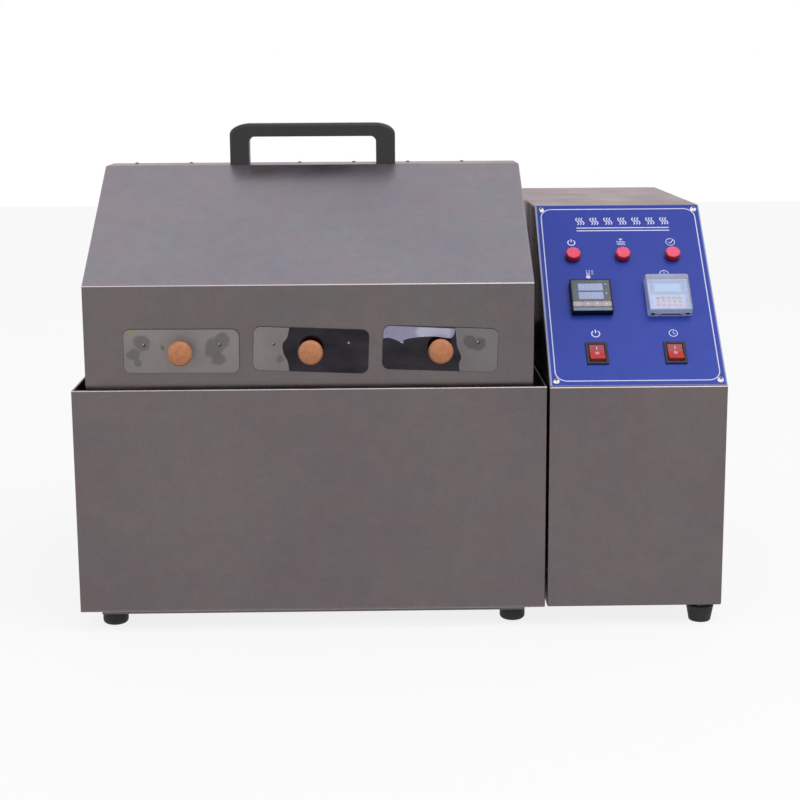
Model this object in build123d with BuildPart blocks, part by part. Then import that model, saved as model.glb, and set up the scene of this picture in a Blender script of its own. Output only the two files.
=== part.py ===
from build123d import *
import os
from math import atan2, cos, hypot, radians, sin, tan

os.makedirs("parts", exist_ok=True)

# Bench steam ageing chamber, in millimetres. +X is the viewer's right, +Y goes to the back, +Z is up.
# The origin is on the bench, under the middle of the whole machine.

# Sheet metal
sheet = 1.2
inside_bend = 0.8

# Water tank casing
tank_width = 535
tank_depth = 515
wall_height = 259
hem_depth = 12
hem_thickness = 2.6
rear_flange = 24
rear_sill = 24
window_drop = 10
bottom_flange = 24
back_panel_lap = 14

# Base pan and the tank's four feet
pan_side_inset = 17
pan_end_inset = 6
pan_lip = 4.5
pan_notch = 7
foot_height = 24
foot_radius = 14.75
foot_round = 5
foot_inset_x = 35
foot_inset_y = 35.5

# Inner tank: a tub with a water gutter folded outwards round its mouth
tub_sheet = 1.0
tub_inset = 29
tub_corner = 12
tub_floor_round = 4
tub_bottom = 60
tub_rim_drop = 9
gutter_depth = 41
gutter_wall_gap = 1.5
seal_thickness = 3
seal_overhang = 3
insulation_gap = 0.3
base_slab_rise = 1.5

# Hood: the front sheet carries the ridge and both gables, the rear sheet laps under the ridge.
# Its eave, its ridge and the drawers are measured up from the tank's rim
hood_gap = 14
eave_height = 116
ridge_height = 237.5
ridge_width = 60
ridge_lap = 18
gable_lap = 12
rivet_count = 7
rivet_left_margin = 31.5
rivet_right_margin = 67.5
rivet_setback = 7.5
rivet_head_radius = 3
rivet_head_height = 1.4
rivet_shank_radius = 1.6
rivet_hole_clearance = 0.1

# Lifting handle
handle_length = 203
handle_height = 50
handle_depth = 26
handle_setback = 3
leg_width = 23.5
grip_thickness = 16
corner_run = 25
corner_rise = 13.5
finger_corner = 7
grip_round = 4

# Sample drawers
drawer_count = 3
drawer_side_margin = 43
drawer_gap = 15.5
drawer_shift = 1.7
drawer_height = 42
front_plate_height = 50
front_plate_lap = 9
front_plate_corner = 8
front_plate_thickness = 1.5
front_plate_gap = 0.3
front_plate_tilts = (0.3, 2.3, 2.2)
tray_height = 30
tray_depth = 200
tray_sheet = 1.0
tray_corner = 3
tray_clearance = 0.5
hood_opening_margin = 3
slot_columns = 3
slot_rows = 11
slot_bar = 5
slot_width = 3.5
slot_border = 9
rail_leg = 14
guide_border = 12
rear_bar_height = 34
rear_bar_gap = 3
rear_bar_flange = 12

# Turned drawer knobs
knob_radius = 14
knob_length = 25
knob_base_radius = 8.5
knob_base_length = 1.5
knob_neck_radius = 6.5
knob_neck_place = 6
knob_shoulder_radius = 12
knob_shoulder_place = 12.2
knob_rim_place = 17.4
knob_crown_radius = 11.8
knob_crown = 2.2

# Heating element, temperature probe and level switch, all through the tub's right wall
heater_radius = 5
heater_leg_gap = 64
heater_end_gap = 55
heater_offset_y = -30
heater_height = 24
fitting_neck_radius = 7
fitting_hole_clearance = 0.2
fitting_flange_radius = 11
fitting_flange = 3
fitting_nut_radius = 12
fitting_nut = 6
fitting_tail = 18
probe_radius = 3
probe_reach = 110
probe_sleeve = 1
probe_offset_y = 75
probe_height = 60
switch_offset_y = -130
switch_height = 66
ear_thickness = 2.5
ear_height = 12
ear_reach = 17
pivot_setback = 5
pivot_radius = 1.5
pivot_clearance = 0.06
float_side_gap = 0.3
float_lug_width = 6.4
float_lug_radius = 4.5
float_neck = 9
float_radius = 11
float_length = 50
float_bevel = 3
float_hang_angle = 25

# Drain valve at the back of the tank
drain_offset_x = 120
drain_clearance = 0.5
pipe_radius = 10.5
pipe_hole_clearance = 0.2
pipe_flange_radius = 16
pipe_flange = 2
valve_standoff = 8
valve_hex_radius = 18
valve_hex_length = 12
valve_ball_radius = 17
valve_ball_length = 30
spout_radius = 10.4
spout_length = 14
spout_bore_radius = 7.5
spout_bore_depth = 20
stem_radius = 5
stem_rise = 12
stem_collar_radius = 8
stem_collar_rise = 4
lever_hub_radius = 8.5
lever_hub_wall = 3
lever_gap = 0.3
lever_running_gap = 0.05
lever_length = 78
lever_width = 13
lever_thickness = 4

# Control box bolted to the tank's right side
seam = 2.5
box_width = 202
box_front_height = 257.5
box_height = 446
slope_run = 201.6
box_rear_flange = 14
wiring_hole_radius = 20
wiring_hole_offset_y = -10
wiring_hole_height = 112
tie_bolt_height = 30
tie_bolt_inset = 60
tie_bolt_count = 4
tie_bolt_radius = 3
hex_head_radius = 5.8
hex_head = 4
box_foot_inset = 21
box_foot_top_radius = 16
box_foot_bottom_radius = 12.5
box_foot_gap = 5
box_foot_round = 2
washer_radius = 10
washer = 1.6
stud_radius = 4
stud_depth = 10
stud_rise = 5

# Panel plate on the slope: rows are measured up from the plate's lower edge, insets from the
# nearer side of the box
panel_thickness = 1.5
panel_side_margin = 1
panel_end_margin = 1.5
panel_corner = 1.5
slope_border = 16
screw_inset = 7
screw_head_radius = 4
screw_head = 2.2
screw_shank_radius = 1.9
screw_length = 9
screw_hole_clearance = 0.2
lamp_row = 191
lamp_left_inset = 41
lamp_right_inset = 42
instrument_row = 125
controller_inset = 56.9
timer_inset = 54.8
switch_row = 45
switch_left_inset = 57.3
switch_right_inset = 55
cut_out_clearance = 0.3

# Indicator lamps
lamp_barrel_radius = 8
lamp_barrel_length = 30
lamp_flange_radius = 9.4
lamp_flange = 1.5
lamp_nut_radius = 11.5
lamp_nut = 4
lamp_blade_width = 2.8
lamp_blade_thickness = 0.8
lamp_blade_length = 8
lens_radius = 8.8
lens_ring = 2.4
lens_groove = 0.5
lens_groove_depth = 0.4
lens_skirt = 5.2
lens_height = 6.6
lens_flat_count = 8
lens_flat_angle = 40

# Temperature controller
bezel_side = 48
bezel_proud = 9
bezel_corner = 1.2
bezel_chamfer = 0.6
case_side = 44.8
case_depth = 78
window_border = 1.8
window_lower_border = 5.2
window_depth = 2
window_gap = 0.15
face_thickness = 1.8
key_count = 4
key_width = 9.6
key_height = 8
key_margin = 1
key_proud = 0.3
key_root = 1
key_clearance = 0.25
key_travel = 0.8
key_floor_gap = 0.2
key_round = 0.4

# Timer with two rows of setting buttons
timer_proud = 7
timer_frame = 2.5
timer_recess = 1
setting_columns = 5
setting_pitch = 6.35
setting_row_gap = 10.9
setting_rows_drop = 9
setting_width = 4.8
setting_height = 3.4
setting_proud = 0.6
setting_root = 3.4
setting_clearance = 0.25
setting_travel = 1
setting_floor_gap = 0.2
setting_round = 0.4

# Clear cover over the timer, hinged along its lower edge
cover_width = 52
cover_length = 55.2
cover_rise = 1.5
cover_corner = 3
cover_fit = 0.2
frame_height = 2.4
lid_gap = 0.3
lid_top = 12.5
lid_wall = 1.2
lid_draft = 5
lid_round = 1
hinge_height = 4.4
hinge_inset = 0.7
hinge_pin_radius = 0.55
hinge_barrel_radius = 1.1
hinge_running_gap = 0.06
hinge_ear_place = 15.8
hinge_ear_width = 3.2
hinge_side_gap = 0.4
hinge_slot_height = 3.6
hinge_slot_round = 1.8
knuckle_width = 3

# Rocker switches
switch_bezel_width = 25
switch_bezel_length = 31
switch_bezel = 2
switch_bezel_round = 1
switch_body_width = 21.6
switch_body_length = 28
switch_body_depth = 22
rocker_width = 16.8
rocker_half_length = 11.4
rocker_side_gap = 1
rocker_end_gap = 1.1
rocker_well_depth = 10
rocker_pivot_depth = 2
rocker_skirt = 4
rocker_valley = 2.4
rocker_crest = 3.6
rocker_angle = 9
rocker_pin_radius = 1.5
rocker_pin_hold = 0.9
rocker_pin_end_gap = 0.35
rocker_running_gap = 0.05
rocker_edge_round = 0.6
blade_width = 6.3
blade_thickness = 0.8
blade_length = 8
blade_pitch = 8.5

# Parts inside and behind the control box
relay_width = 45
relay_length = 58
relay_height = 24
relay_base = 4
relay_base_margin = 8
relay_offset_y = 330
vent_rows = 8
vent_pitch = 13
vent_length = 110
vent_width = 5
vent_drop = 60
gland_offset_x = 60
gland_height = 60
gland_bore_radius = 4.2
gland_thread_radius = 8
gland_hex_radius = 12.5
gland_hex = 6
gland_dome_radius = 10
gland_dome = 16
gland_dome_bevel = 3.5
gland_nut = 5
gland_hole_clearance = 0.2
rear_screw_rows = 4
rear_screw_inset = 7
rear_screw_head_radius = 3.5
rear_screw_head = 1.8
rear_screw_bevel = 0.6
rear_screw_radius = 1.6
rear_screw_length = 6


# Places that follow from the sizes above
bend_radius = inside_bend + sheet
overall_width = tank_width + seam + box_width
front_reach = knob_length + front_plate_thickness + front_plate_gap - hood_gap
rear_reach = valve_standoff + 2 * valve_hex_length + valve_ball_length + spout_length
overall_depth = front_reach + tank_depth + rear_reach

tank_left = -overall_width / 2
tank_right = tank_left + tank_width
front = front_reach - overall_depth / 2
back = front + tank_depth
base = foot_height
rim = base + wall_height
casing_depth = tank_depth - sheet
casing_back = back - sheet
middle_x = tank_left + tank_width / 2
middle_y = front + casing_depth / 2

tub_width = tank_width - 2 * tub_inset
tub_depth = casing_depth - 2 * tub_inset
tub_floor = base + tub_bottom
tub_rim = rim - tub_rim_drop
gutter_floor = rim - gutter_depth
tub_right = tank_right - tub_inset
tub_wet_face = tub_right - tub_sheet
tub_back = casing_back - tub_inset

hood_width = tank_width - 2 * hood_gap
hood_depth = casing_depth - 2 * hood_gap
hood_left = tank_left + hood_gap
hood_front = front + hood_gap
hood_back = hood_front + hood_depth
hood_bottom = gutter_floor + seal_thickness
eave = rim + eave_height
ridge = rim + ridge_height
ridge_front = middle_y - ridge_width / 2
ridge_back = middle_y + ridge_width / 2

front_plate_back = hood_front - front_plate_gap
front_plate_front = front_plate_back - front_plate_thickness
drawer_z = rim + drawer_height
drawer_pitch = (hood_width - 2 * drawer_side_margin + drawer_gap) / drawer_count
front_plate_width = drawer_pitch - drawer_gap
tray_width = front_plate_width - 2 * front_plate_lap
drawer_xs = [
    middle_x + drawer_shift + (index - (drawer_count - 1) / 2) * drawer_pitch
    for index in range(drawer_count)
]

box_left = tank_right + seam
box_right = box_left + box_width
lamp_place_xs = (
    lamp_left_inset,
    (lamp_left_inset + box_width - lamp_right_inset) / 2,
    box_width - lamp_right_inset,
)
lamp_places = [(x, lamp_row) for x in lamp_place_xs]
controller_place = (controller_inset, instrument_row)
timer_place = (box_width - timer_inset, instrument_row)
switch_places = [(x, switch_row) for x in (switch_left_inset, box_width - switch_right_inset)]
slope_rise = box_height - box_front_height
slope_length = hypot(slope_run, slope_rise)
slope_angle = atan2(slope_rise, slope_run)
slope_normal = (0, -sin(slope_angle), cos(slope_angle))
slope_plane = Plane(
    origin=(box_left, front, base + box_front_height), x_dir=(1, 0, 0), z_dir=slope_normal
)


def panel_plane(across=0, up=0, out=0):
    """Plane on the panel plate's face: across from the box's side, up from the plate's edge."""
    corner = (across, panel_end_margin + up, panel_thickness + out)
    return Plane(
        origin=slope_plane.from_local_coords(corner), x_dir=(1, 0, 0), z_dir=slope_normal
    )


def front_view(y):
    """Upright plane at a depth y, seen from the front: sketches lie in X and Z."""
    return Plane.XZ.offset(-y)


def grid_places(middle, width, height, columns, rows):
    """Places of an even grid about its middle, corner places at the full width and height."""
    return [
        (
            middle[0] + width * (column / (columns - 1) - 0.5),
            middle[1] + height * (row / (rows - 1) - 0.5),
        )
        for column in range(columns)
        for row in range(rows)
    ]


def save(piece, name):
    piece.part.label = name
    export_step(piece.part, f"parts/{name}.step")


# Rear window of the tank casing, its screwed panel, and the bolts that tie the control box on
window_height = wall_height - rear_sill - gutter_depth - tub_sheet - window_drop
window_place = (middle_x, base + rear_sill + window_height / 2)
back_panel_width = tank_width - 2 * rear_flange + 2 * back_panel_lap
back_panel_height = window_height + 2 * back_panel_lap
tank_screw_places = grid_places(
    window_place,
    back_panel_width - 2 * rear_screw_inset,
    back_panel_height - 2 * rear_screw_inset,
    2,
    rear_screw_rows,
)
rear_screw_hole = rear_screw_radius + rivet_hole_clearance
tie_bolt_pitch = (casing_depth - 2 * tie_bolt_inset) / (tie_bolt_count - 1)
tie_bolt_places = [
    (front + tie_bolt_inset + index * tie_bolt_pitch, base + tie_bolt_height)
    for index in range(tie_bolt_count)
]
wiring_place = (middle_y + wiring_hole_offset_y, base + wiring_hole_height)

# Tank casing: front and side walls with a doubled rim, turned in at the bottom and the back
with BuildPart() as tank_casing:
    with BuildSketch(Plane.XY.offset(base)):
        with Locations((middle_x, middle_y)):
            RectangleRounded(tank_width, casing_depth, bend_radius)
            RectangleRounded(
                tank_width - 2 * sheet, casing_depth - 2 * sheet, inside_bend, mode=Mode.SUBTRACT
            )
    extrude(amount=wall_height)
    with BuildSketch(Plane.XY.offset(rim - hem_depth)):
        with Locations((middle_x, middle_y)):
            Rectangle(tank_width - sheet, casing_depth - sheet)
            Rectangle(
                tank_width - 2 * hem_thickness,
                casing_depth - 2 * hem_thickness,
                mode=Mode.SUBTRACT,
            )
    extrude(amount=hem_depth)
    fillet(tank_casing.faces().sort_by(Axis.Z)[-1].edges(), 0.4 * hem_thickness)
    with BuildSketch(Plane.XY.offset(base)):
        with Locations((middle_x, middle_y)):
            Rectangle(tank_width - sheet, casing_depth - sheet)
            Rectangle(
                tank_width - 2 * bottom_flange,
                casing_depth - 2 * bottom_flange,
                mode=Mode.SUBTRACT,
            )
    extrude(amount=sheet)
    with BuildSketch(front_view(casing_back)):
        with Locations(window_place):
            Rectangle(tank_width - 2 * rear_flange, window_height)
        with Locations(*tank_screw_places):
            Circle(rear_screw_hole)
    extrude(amount=sheet, mode=Mode.SUBTRACT)
    with BuildSketch(Plane.YZ.offset(tank_right - sheet)):
        with Locations(wiring_place):
            Circle(wiring_hole_radius)
        with Locations(*tie_bolt_places):
            Circle(tie_bolt_radius + screw_hole_clearance)
    extrude(amount=sheet, mode=Mode.SUBTRACT)
save(tank_casing, "tank_casing")

# Screwed back panel of the tank, with the hole that the drain pipe comes through
drain_x = tank_left + drain_offset_x
drain_z = tub_floor + tub_floor_round + pipe_flange_radius + drain_clearance
with BuildPart() as tank_back_panel:
    with BuildSketch(front_view(back)):
        with Locations(window_place):
            RectangleRounded(back_panel_width, back_panel_height, bend_radius)
        with Locations(*tank_screw_places):
            Circle(rear_screw_hole, mode=Mode.SUBTRACT)
        with Locations((drain_x, drain_z)):
            Circle(pipe_radius + pipe_hole_clearance, mode=Mode.SUBTRACT)
    extrude(amount=sheet)
save(tank_back_panel, "tank_back_panel")

# Base pan: a shallow tray with its lip turned down below the walls
with BuildPart() as tank_base_pan:
    pan_width = tank_width - 2 * pan_side_inset
    pan_depth = casing_depth - 2 * pan_end_inset
    with BuildSketch(Plane.XY.offset(base)):
        with Locations((middle_x, middle_y)):
            Rectangle(pan_width, pan_depth)
    extrude(amount=-pan_lip)
    pan_underside = tank_base_pan.faces().sort_by(Axis.Z)[0]
    offset(amount=-sheet, openings=pan_underside)
    with BuildSketch(Plane.XY.offset(base)):
        with Locations((middle_x, middle_y)):
            with GridLocations(pan_width, pan_depth, 2, 2):
                Rectangle(2 * pan_notch, 2 * pan_notch)
    extrude(amount=-pan_lip, mode=Mode.SUBTRACT)
save(tank_base_pan, "tank_base_pan")

# Rubber feet under the base pan
with BuildPart() as foot:
    with BuildSketch(Plane.XY):
        Circle(foot_radius)
    extrude(amount=base - sheet)
    fillet(foot.faces().sort_by(Axis.Z)[0].edges(), foot_round)
with BuildPart() as tank_feet:
    with Locations((middle_x, middle_y)):
        with GridLocations(
            tank_width - 2 * foot_inset_x, casing_depth - 2 * foot_inset_y, 2, 2
        ):
            add(foot.part)
save(tank_feet, "tank_feet")

# Inner tank: deep tub, gutter floor turned out below its rim, and the gutter's outer wall
heater_y = middle_y + heater_offset_y
heater_ys = (heater_y - heater_leg_gap / 2, heater_y + heater_leg_gap / 2)
heater_turn_x = tank_left + tub_inset + heater_end_gap + heater_radius + heater_leg_gap / 2
heater_z = tub_floor + heater_height
probe_y = middle_y + probe_offset_y
probe_z = tub_floor + probe_height
level_y = middle_y + switch_offset_y
level_z = tub_floor + switch_height
fitting_places = [(y, heater_z) for y in heater_ys] + [(probe_y, probe_z), (level_y, level_z)]
with BuildPart() as inner_tank:
    with BuildSketch(Plane.XY.offset(tub_floor)):
        with Locations((middle_x, middle_y)):
            RectangleRounded(tub_width, tub_depth, tub_corner)
    extrude(amount=tub_rim - tub_floor)
    fillet(inner_tank.faces().sort_by(Axis.Z)[0].edges(), tub_floor_round)
    tub_mouth = inner_tank.faces().sort_by(Axis.Z)[-1]
    offset(amount=-tub_sheet, openings=tub_mouth)
    with BuildSketch(Plane.XY.offset(gutter_floor)):
        with Locations((middle_x, middle_y)):
            RectangleRounded(tank_width - 2 * sheet, casing_depth - 2 * sheet, inside_bend)
            RectangleRounded(
                tub_width - tub_sheet, tub_depth - tub_sheet, tub_corner, mode=Mode.SUBTRACT
            )
    extrude(amount=-tub_sheet)
    with BuildSketch(Plane.XY.offset(gutter_floor - tub_sheet)):
        with Locations((middle_x, middle_y)):
            RectangleRounded(tank_width - 2 * sheet, casing_depth - 2 * sheet, inside_bend)
            Rectangle(
                tank_width - 2 * sheet - 2 * tub_sheet,
                casing_depth - 2 * sheet - 2 * tub_sheet,
                mode=Mode.SUBTRACT,
            )
    extrude(amount=tub_sheet + gutter_depth - hem_depth - gutter_wall_gap)
    with BuildSketch(Plane.YZ.offset(tub_wet_face)):
        with Locations(*fitting_places):
            Circle(fitting_neck_radius + fitting_hole_clearance)
    extrude(amount=tub_sheet, mode=Mode.SUBTRACT)
    with BuildSketch(front_view(tub_back)):
        with Locations((drain_x, drain_z)):
            Circle(pipe_radius + pipe_hole_clearance)
    extrude(amount=tub_sheet, mode=Mode.SUBTRACT)
save(inner_tank, "inner_tank")

# Insulation: a wrap round the tub with a bay for the fittings, and a slab under it
wrap_bottom = tub_floor - insulation_gap
wrap_height = gutter_floor - tub_sheet - insulation_gap - wrap_bottom
wrap_front = front + sheet + insulation_gap
wrap_depth = back - rear_screw_length - insulation_gap - wrap_front
with BuildPart() as tank_insulation:
    with BuildSketch(Plane.XY.offset(wrap_bottom)):
        with Locations((middle_x, wrap_front + wrap_depth / 2)):
            Rectangle(tank_width - 2 * (sheet + insulation_gap), wrap_depth)
        with Locations((middle_x, middle_y)):
            RectangleRounded(
                tub_width + 2 * insulation_gap,
                tub_depth + 2 * insulation_gap,
                tub_corner,
                mode=Mode.SUBTRACT,
            )
    extrude(amount=wrap_height)
    bay_front = level_y - 2 * fitting_nut_radius
    bay_back = probe_y + 2 * fitting_nut_radius
    bay_top = level_z + 2 * fitting_nut_radius
    with BuildSketch(Plane.YZ.offset(tub_right)):
        with Locations(((bay_front + bay_back) / 2, (wrap_bottom + bay_top) / 2)):
            Rectangle(bay_back - bay_front, bay_top - wrap_bottom)
    extrude(amount=tub_inset, mode=Mode.SUBTRACT)
    with BuildSketch(front_view(back)):
        with Locations((drain_x, drain_z)):
            Circle(pipe_radius + insulation_gap)
    extrude(amount=sheet + tub_inset, mode=Mode.SUBTRACT)
    with BuildSketch(Plane.XY.offset(base + base_slab_rise)):
        with Locations((middle_x, wrap_front + wrap_depth / 2)):
            Rectangle(tub_width, wrap_depth)
    extrude(amount=tub_bottom - base_slab_rise - insulation_gap)
save(tank_insulation, "tank_insulation")

# Rubber strip on the gutter floor, under the hood's edge
with BuildPart() as lid_seal:
    with BuildSketch(Plane.XY.offset(gutter_floor)):
        with Locations((middle_x, middle_y)):
            Rectangle(hood_width + 2 * seal_overhang, hood_depth + 2 * seal_overhang)
            Rectangle(
                hood_width - 2 * sheet - 2 * seal_overhang,
                hood_depth - 2 * sheet - 2 * seal_overhang,
                mode=Mode.SUBTRACT,
            )
    extrude(amount=seal_thickness)
save(lid_seal, "lid_seal")


def wall_fittings(places):
    """Neck, wet-side flange and outside nut of each fitting in the tub's right wall."""
    with BuildPart() as fittings:
        with BuildSketch(Plane.YZ.offset(tub_wet_face - fitting_flange)):
            with Locations(*places):
                Circle(fitting_neck_radius)
        extrude(amount=fitting_flange + tub_sheet + fitting_nut + fitting_flange)
        with BuildSketch(Plane.YZ.offset(tub_wet_face - fitting_flange)):
            with Locations(*places):
                Circle(fitting_flange_radius)
        extrude(amount=fitting_flange)
        with BuildSketch(Plane.YZ.offset(tub_right)):
            with Locations(*places):
                RegularPolygon(fitting_nut_radius, 6)
        extrude(amount=fitting_nut)
    return fittings.part


# Hairpin heating element lying low in the tub
heater_fittings = wall_fittings([(y, heater_z) for y in heater_ys])
with BuildPart() as heater_element:
    with BuildLine(Plane.XY.offset(heater_z)):
        near_leg = Line((tub_right + fitting_tail, heater_ys[0]), (heater_turn_x, heater_ys[0]))
        turn = JernArc(near_leg @ 1, near_leg % 1, heater_leg_gap / 2, -180)
        Line(turn @ 1, (tub_right + fitting_tail, heater_ys[1]))
    with BuildSketch(Plane(origin=near_leg @ 0, z_dir=near_leg % 0)):
        Circle(heater_radius)
    sweep()
    add(heater_fittings)
save(heater_element, "heater_element")

# Temperature probe
probe_fitting = wall_fittings([(probe_y, probe_z)])
with BuildPart() as temperature_probe:
    with BuildSketch(Plane.YZ.offset(tub_wet_face)):
        with Locations((probe_y, probe_z)):
            Circle(probe_radius)
    extrude(amount=-probe_reach)
    fillet(temperature_probe.faces().sort_by(Axis.X)[0].edges(), 0.6 * probe_radius)
    with BuildSketch(Plane.YZ.offset(tub_right)):
        with Locations((probe_y, probe_z)):
            Circle(probe_radius + probe_sleeve)
    extrude(amount=fitting_tail)
    add(probe_fitting)
save(temperature_probe, "temperature_probe")

# Level switch: a fork with a pin on the wet side of the wall, and the float that hangs from it
fork_face = tub_wet_face - fitting_flange
pivot_x = fork_face - ear_reach + pivot_setback
fork_gap = float_lug_width + 2 * float_side_gap
level_fitting = wall_fittings([(level_y, level_z)])
with BuildPart() as level_switch:
    add(level_fitting)
    with BuildSketch(Plane.YZ.offset(fork_face)):
        with Locations((level_y, level_z)):
            with GridLocations(fork_gap + ear_thickness, 1, 2, 1):
                Rectangle(ear_thickness, ear_height)
    extrude(amount=-ear_reach)
    with BuildSketch(front_view(level_y + fork_gap / 2 + ear_thickness / 2)):
        with Locations((pivot_x, level_z)):
            Circle(pivot_radius)
    extrude(amount=fork_gap + ear_thickness)
save(level_switch, "level_switch")

with BuildPart() as float_bulb:
    with BuildSketch(Plane.YZ.offset(-float_neck)):
        Circle(float_radius)
    extrude(amount=-float_length)
    chamfer(float_bulb.edges(), float_bevel)
with BuildPart() as float_form:
    with BuildSketch(front_view(float_lug_width / 2)):
        Circle(float_lug_radius)
        with Locations((-float_neck / 2, 0)):
            Rectangle(float_neck, 2 * float_lug_radius)
        Circle(pivot_radius + pivot_clearance, mode=Mode.SUBTRACT)
    extrude(amount=float_lug_width)
    add(float_bulb.part)
with BuildPart() as level_float:
    with Locations(Location((pivot_x, level_y, level_z), (0, -float_hang_angle, 0))):
        add(float_form.part)
save(level_float, "level_float")

# Drain valve: pipe through the tub and the back panel, hexagon ends, ball housing and spout
valve_start = back + valve_standoff
ball_y = valve_start + valve_hex_length + valve_ball_length / 2
spout_end = back + rear_reach
drain_plane = Plane(origin=(drain_x, 0, drain_z), x_dir=(1, 0, 0), z_dir=(0, 1, 0))
with BuildPart() as drain_valve:
    pipe_start = tub_back - tub_sheet - pipe_flange
    with BuildSketch(drain_plane.offset(pipe_start)):
        Circle(pipe_flange_radius)
    extrude(amount=pipe_flange)
    with BuildSketch(drain_plane.offset(pipe_start)):
        Circle(pipe_radius)
    extrude(amount=valve_start - pipe_start)
    for hex_start in (valve_start, ball_y + valve_ball_length / 2):
        with BuildSketch(drain_plane.offset(hex_start)):
            RegularPolygon(valve_hex_radius, 6)
        extrude(amount=valve_hex_length)
    with BuildSketch(drain_plane.offset(ball_y - valve_ball_length / 2)):
        Circle(valve_ball_radius)
    extrude(amount=valve_ball_length)
    with BuildSketch(drain_plane.offset(spout_end - spout_length)):
        Circle(spout_radius)
    extrude(amount=spout_length)
    with BuildSketch(drain_plane.offset(spout_end)):
        Circle(spout_bore_radius)
    extrude(amount=-spout_bore_depth, mode=Mode.SUBTRACT)
    with BuildSketch(drain_plane.offset(pipe_start)):
        Circle(spout_bore_radius)
    extrude(amount=valve_start - pipe_start, mode=Mode.SUBTRACT)
    collar_top = drain_z + valve_ball_radius + stem_collar_rise
    with BuildSketch(Plane.XY.offset(drain_z)):
        with Locations((drain_x, ball_y)):
            Circle(stem_collar_radius)
    extrude(amount=collar_top - drain_z)
    with BuildSketch(Plane.XY.offset(drain_z)):
        with Locations((drain_x, ball_y)):
            Circle(stem_radius)
    extrude(amount=collar_top + stem_rise - drain_z)
save(drain_valve, "drain_valve")

with BuildPart() as drain_lever:
    hub_bottom = collar_top + lever_gap
    hub_height = stem_rise + lever_hub_wall
    with BuildSketch(Plane.XY.offset(hub_bottom + hub_height - lever_thickness)):
        with Locations((drain_x - lever_length / 2, ball_y)):
            SlotOverall(lever_length, lever_width)
    extrude(amount=lever_thickness)
    fillet(drain_lever.faces().sort_by(Axis.Z)[-1].edges(), lever_thickness / 4)
    with BuildSketch(Plane.XY.offset(hub_bottom)):
        with Locations((drain_x, ball_y)):
            Circle(lever_hub_radius)
    extrude(amount=hub_height)
    with BuildSketch(Plane.XY.offset(hub_bottom)):
        with Locations((drain_x, ball_y)):
            Circle(stem_radius + lever_running_gap)
    extrude(amount=stem_rise, mode=Mode.SUBTRACT)
save(drain_lever, "drain_lever")

# Hood front sheet: front wall, slope, ridge and both gables in one folded and welded shell
rivet_span = hood_width - rivet_left_margin - rivet_right_margin
rivet_xs = [
    hood_left + rivet_left_margin + index * rivet_span / (rivet_count - 1)
    for index in range(rivet_count)
]
rivet_places = [(x, ridge_back - rivet_setback) for x in rivet_xs]
with BuildPart() as hood_shell:
    with BuildSketch(Plane.YZ.offset(hood_left)):
        with BuildLine():
            Polyline(
                (hood_front, hood_bottom),
                (hood_front, eave),
                (ridge_front, ridge),
                (ridge_back, ridge),
                (hood_back, eave),
                (hood_back, hood_bottom),
                close=True,
            )
        make_face()
    extrude(amount=hood_width)
    rear_faces = hood_shell.faces().sort_by(Axis.Y)[-2:]
    open_faces = rear_faces + hood_shell.faces().sort_by(Axis.Z)[:1]
    open_edges = ShapeList(edge for face in open_faces for edge in face.edges())
    fillet(hood_shell.edges() - open_edges, bend_radius)
    rear_faces = hood_shell.faces().sort_by(Axis.Y)[-2:]
    open_faces = rear_faces + hood_shell.faces().sort_by(Axis.Z)[:1]
    offset(amount=-sheet, openings=open_faces)
    with BuildSketch(front_view(hood_front + sheet)):
        with Locations(*[(x, drawer_z) for x in drawer_xs]):
            RectangleRounded(
                tray_width + 2 * hood_opening_margin,
                tray_height + 2 * hood_opening_margin,
                tray_corner,
            )
    extrude(amount=sheet, mode=Mode.SUBTRACT)
    with BuildSketch(Plane.XY.offset(ridge)):
        with Locations(*rivet_places):
            Circle(rivet_shank_radius + rivet_hole_clearance)
    extrude(amount=-sheet, mode=Mode.SUBTRACT)
save(hood_shell, "hood_shell")

# Hood rear sheet: lies under the ridge, follows the rear slope and closes the back
slope_per_rise = (hood_back - ridge_back) / (ridge - eave)
lap_top = ridge - sheet
rear_fold = (
    (ridge_back - ridge_lap, lap_top),
    (ridge_back + sheet * slope_per_rise, lap_top),
    (hood_back, eave),
    (hood_back, hood_bottom),
)


def folded_strip(x, points, width):
    """Upright face at x: a strip of even width on the inner side of a folded line."""
    with BuildSketch(Plane.YZ.offset(x)) as strip:
        with BuildLine():
            fold = FilletPolyline(*points, radius=bend_radius)
            offset(fold, amount=width, side=Side.RIGHT)
        make_face()
    return strip.sketch


back_sheet = folded_strip(hood_left + sheet, rear_fold, sheet)
gable_laps = [
    folded_strip(x, rear_fold, gable_lap)
    for x in (hood_left + sheet, hood_left + hood_width - 2 * sheet)
]
with BuildPart() as hood_back_panel:
    extrude(back_sheet, amount=hood_width - 2 * sheet)
    for lap in gable_laps:
        extrude(lap, amount=sheet)
    with BuildSketch(Plane.XY.offset(lap_top)):
        with Locations(*rivet_places):
            Circle(rivet_shank_radius + rivet_hole_clearance)
    extrude(amount=-sheet, mode=Mode.SUBTRACT)
    relief = ridge_lap + (sheet + inside_bend) * slope_per_rise
    with BuildSketch(Plane.XY.offset(lap_top)):
        with Locations((middle_x, ridge_back - ridge_lap + relief / 2)):
            Rectangle(hood_width - 2 * sheet, relief)
            Rectangle(hood_width - 2 * sheet - 2 * inside_bend, relief, mode=Mode.SUBTRACT)
    extrude(amount=-inside_bend, mode=Mode.SUBTRACT)
save(hood_back_panel, "hood_back_panel")

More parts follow.
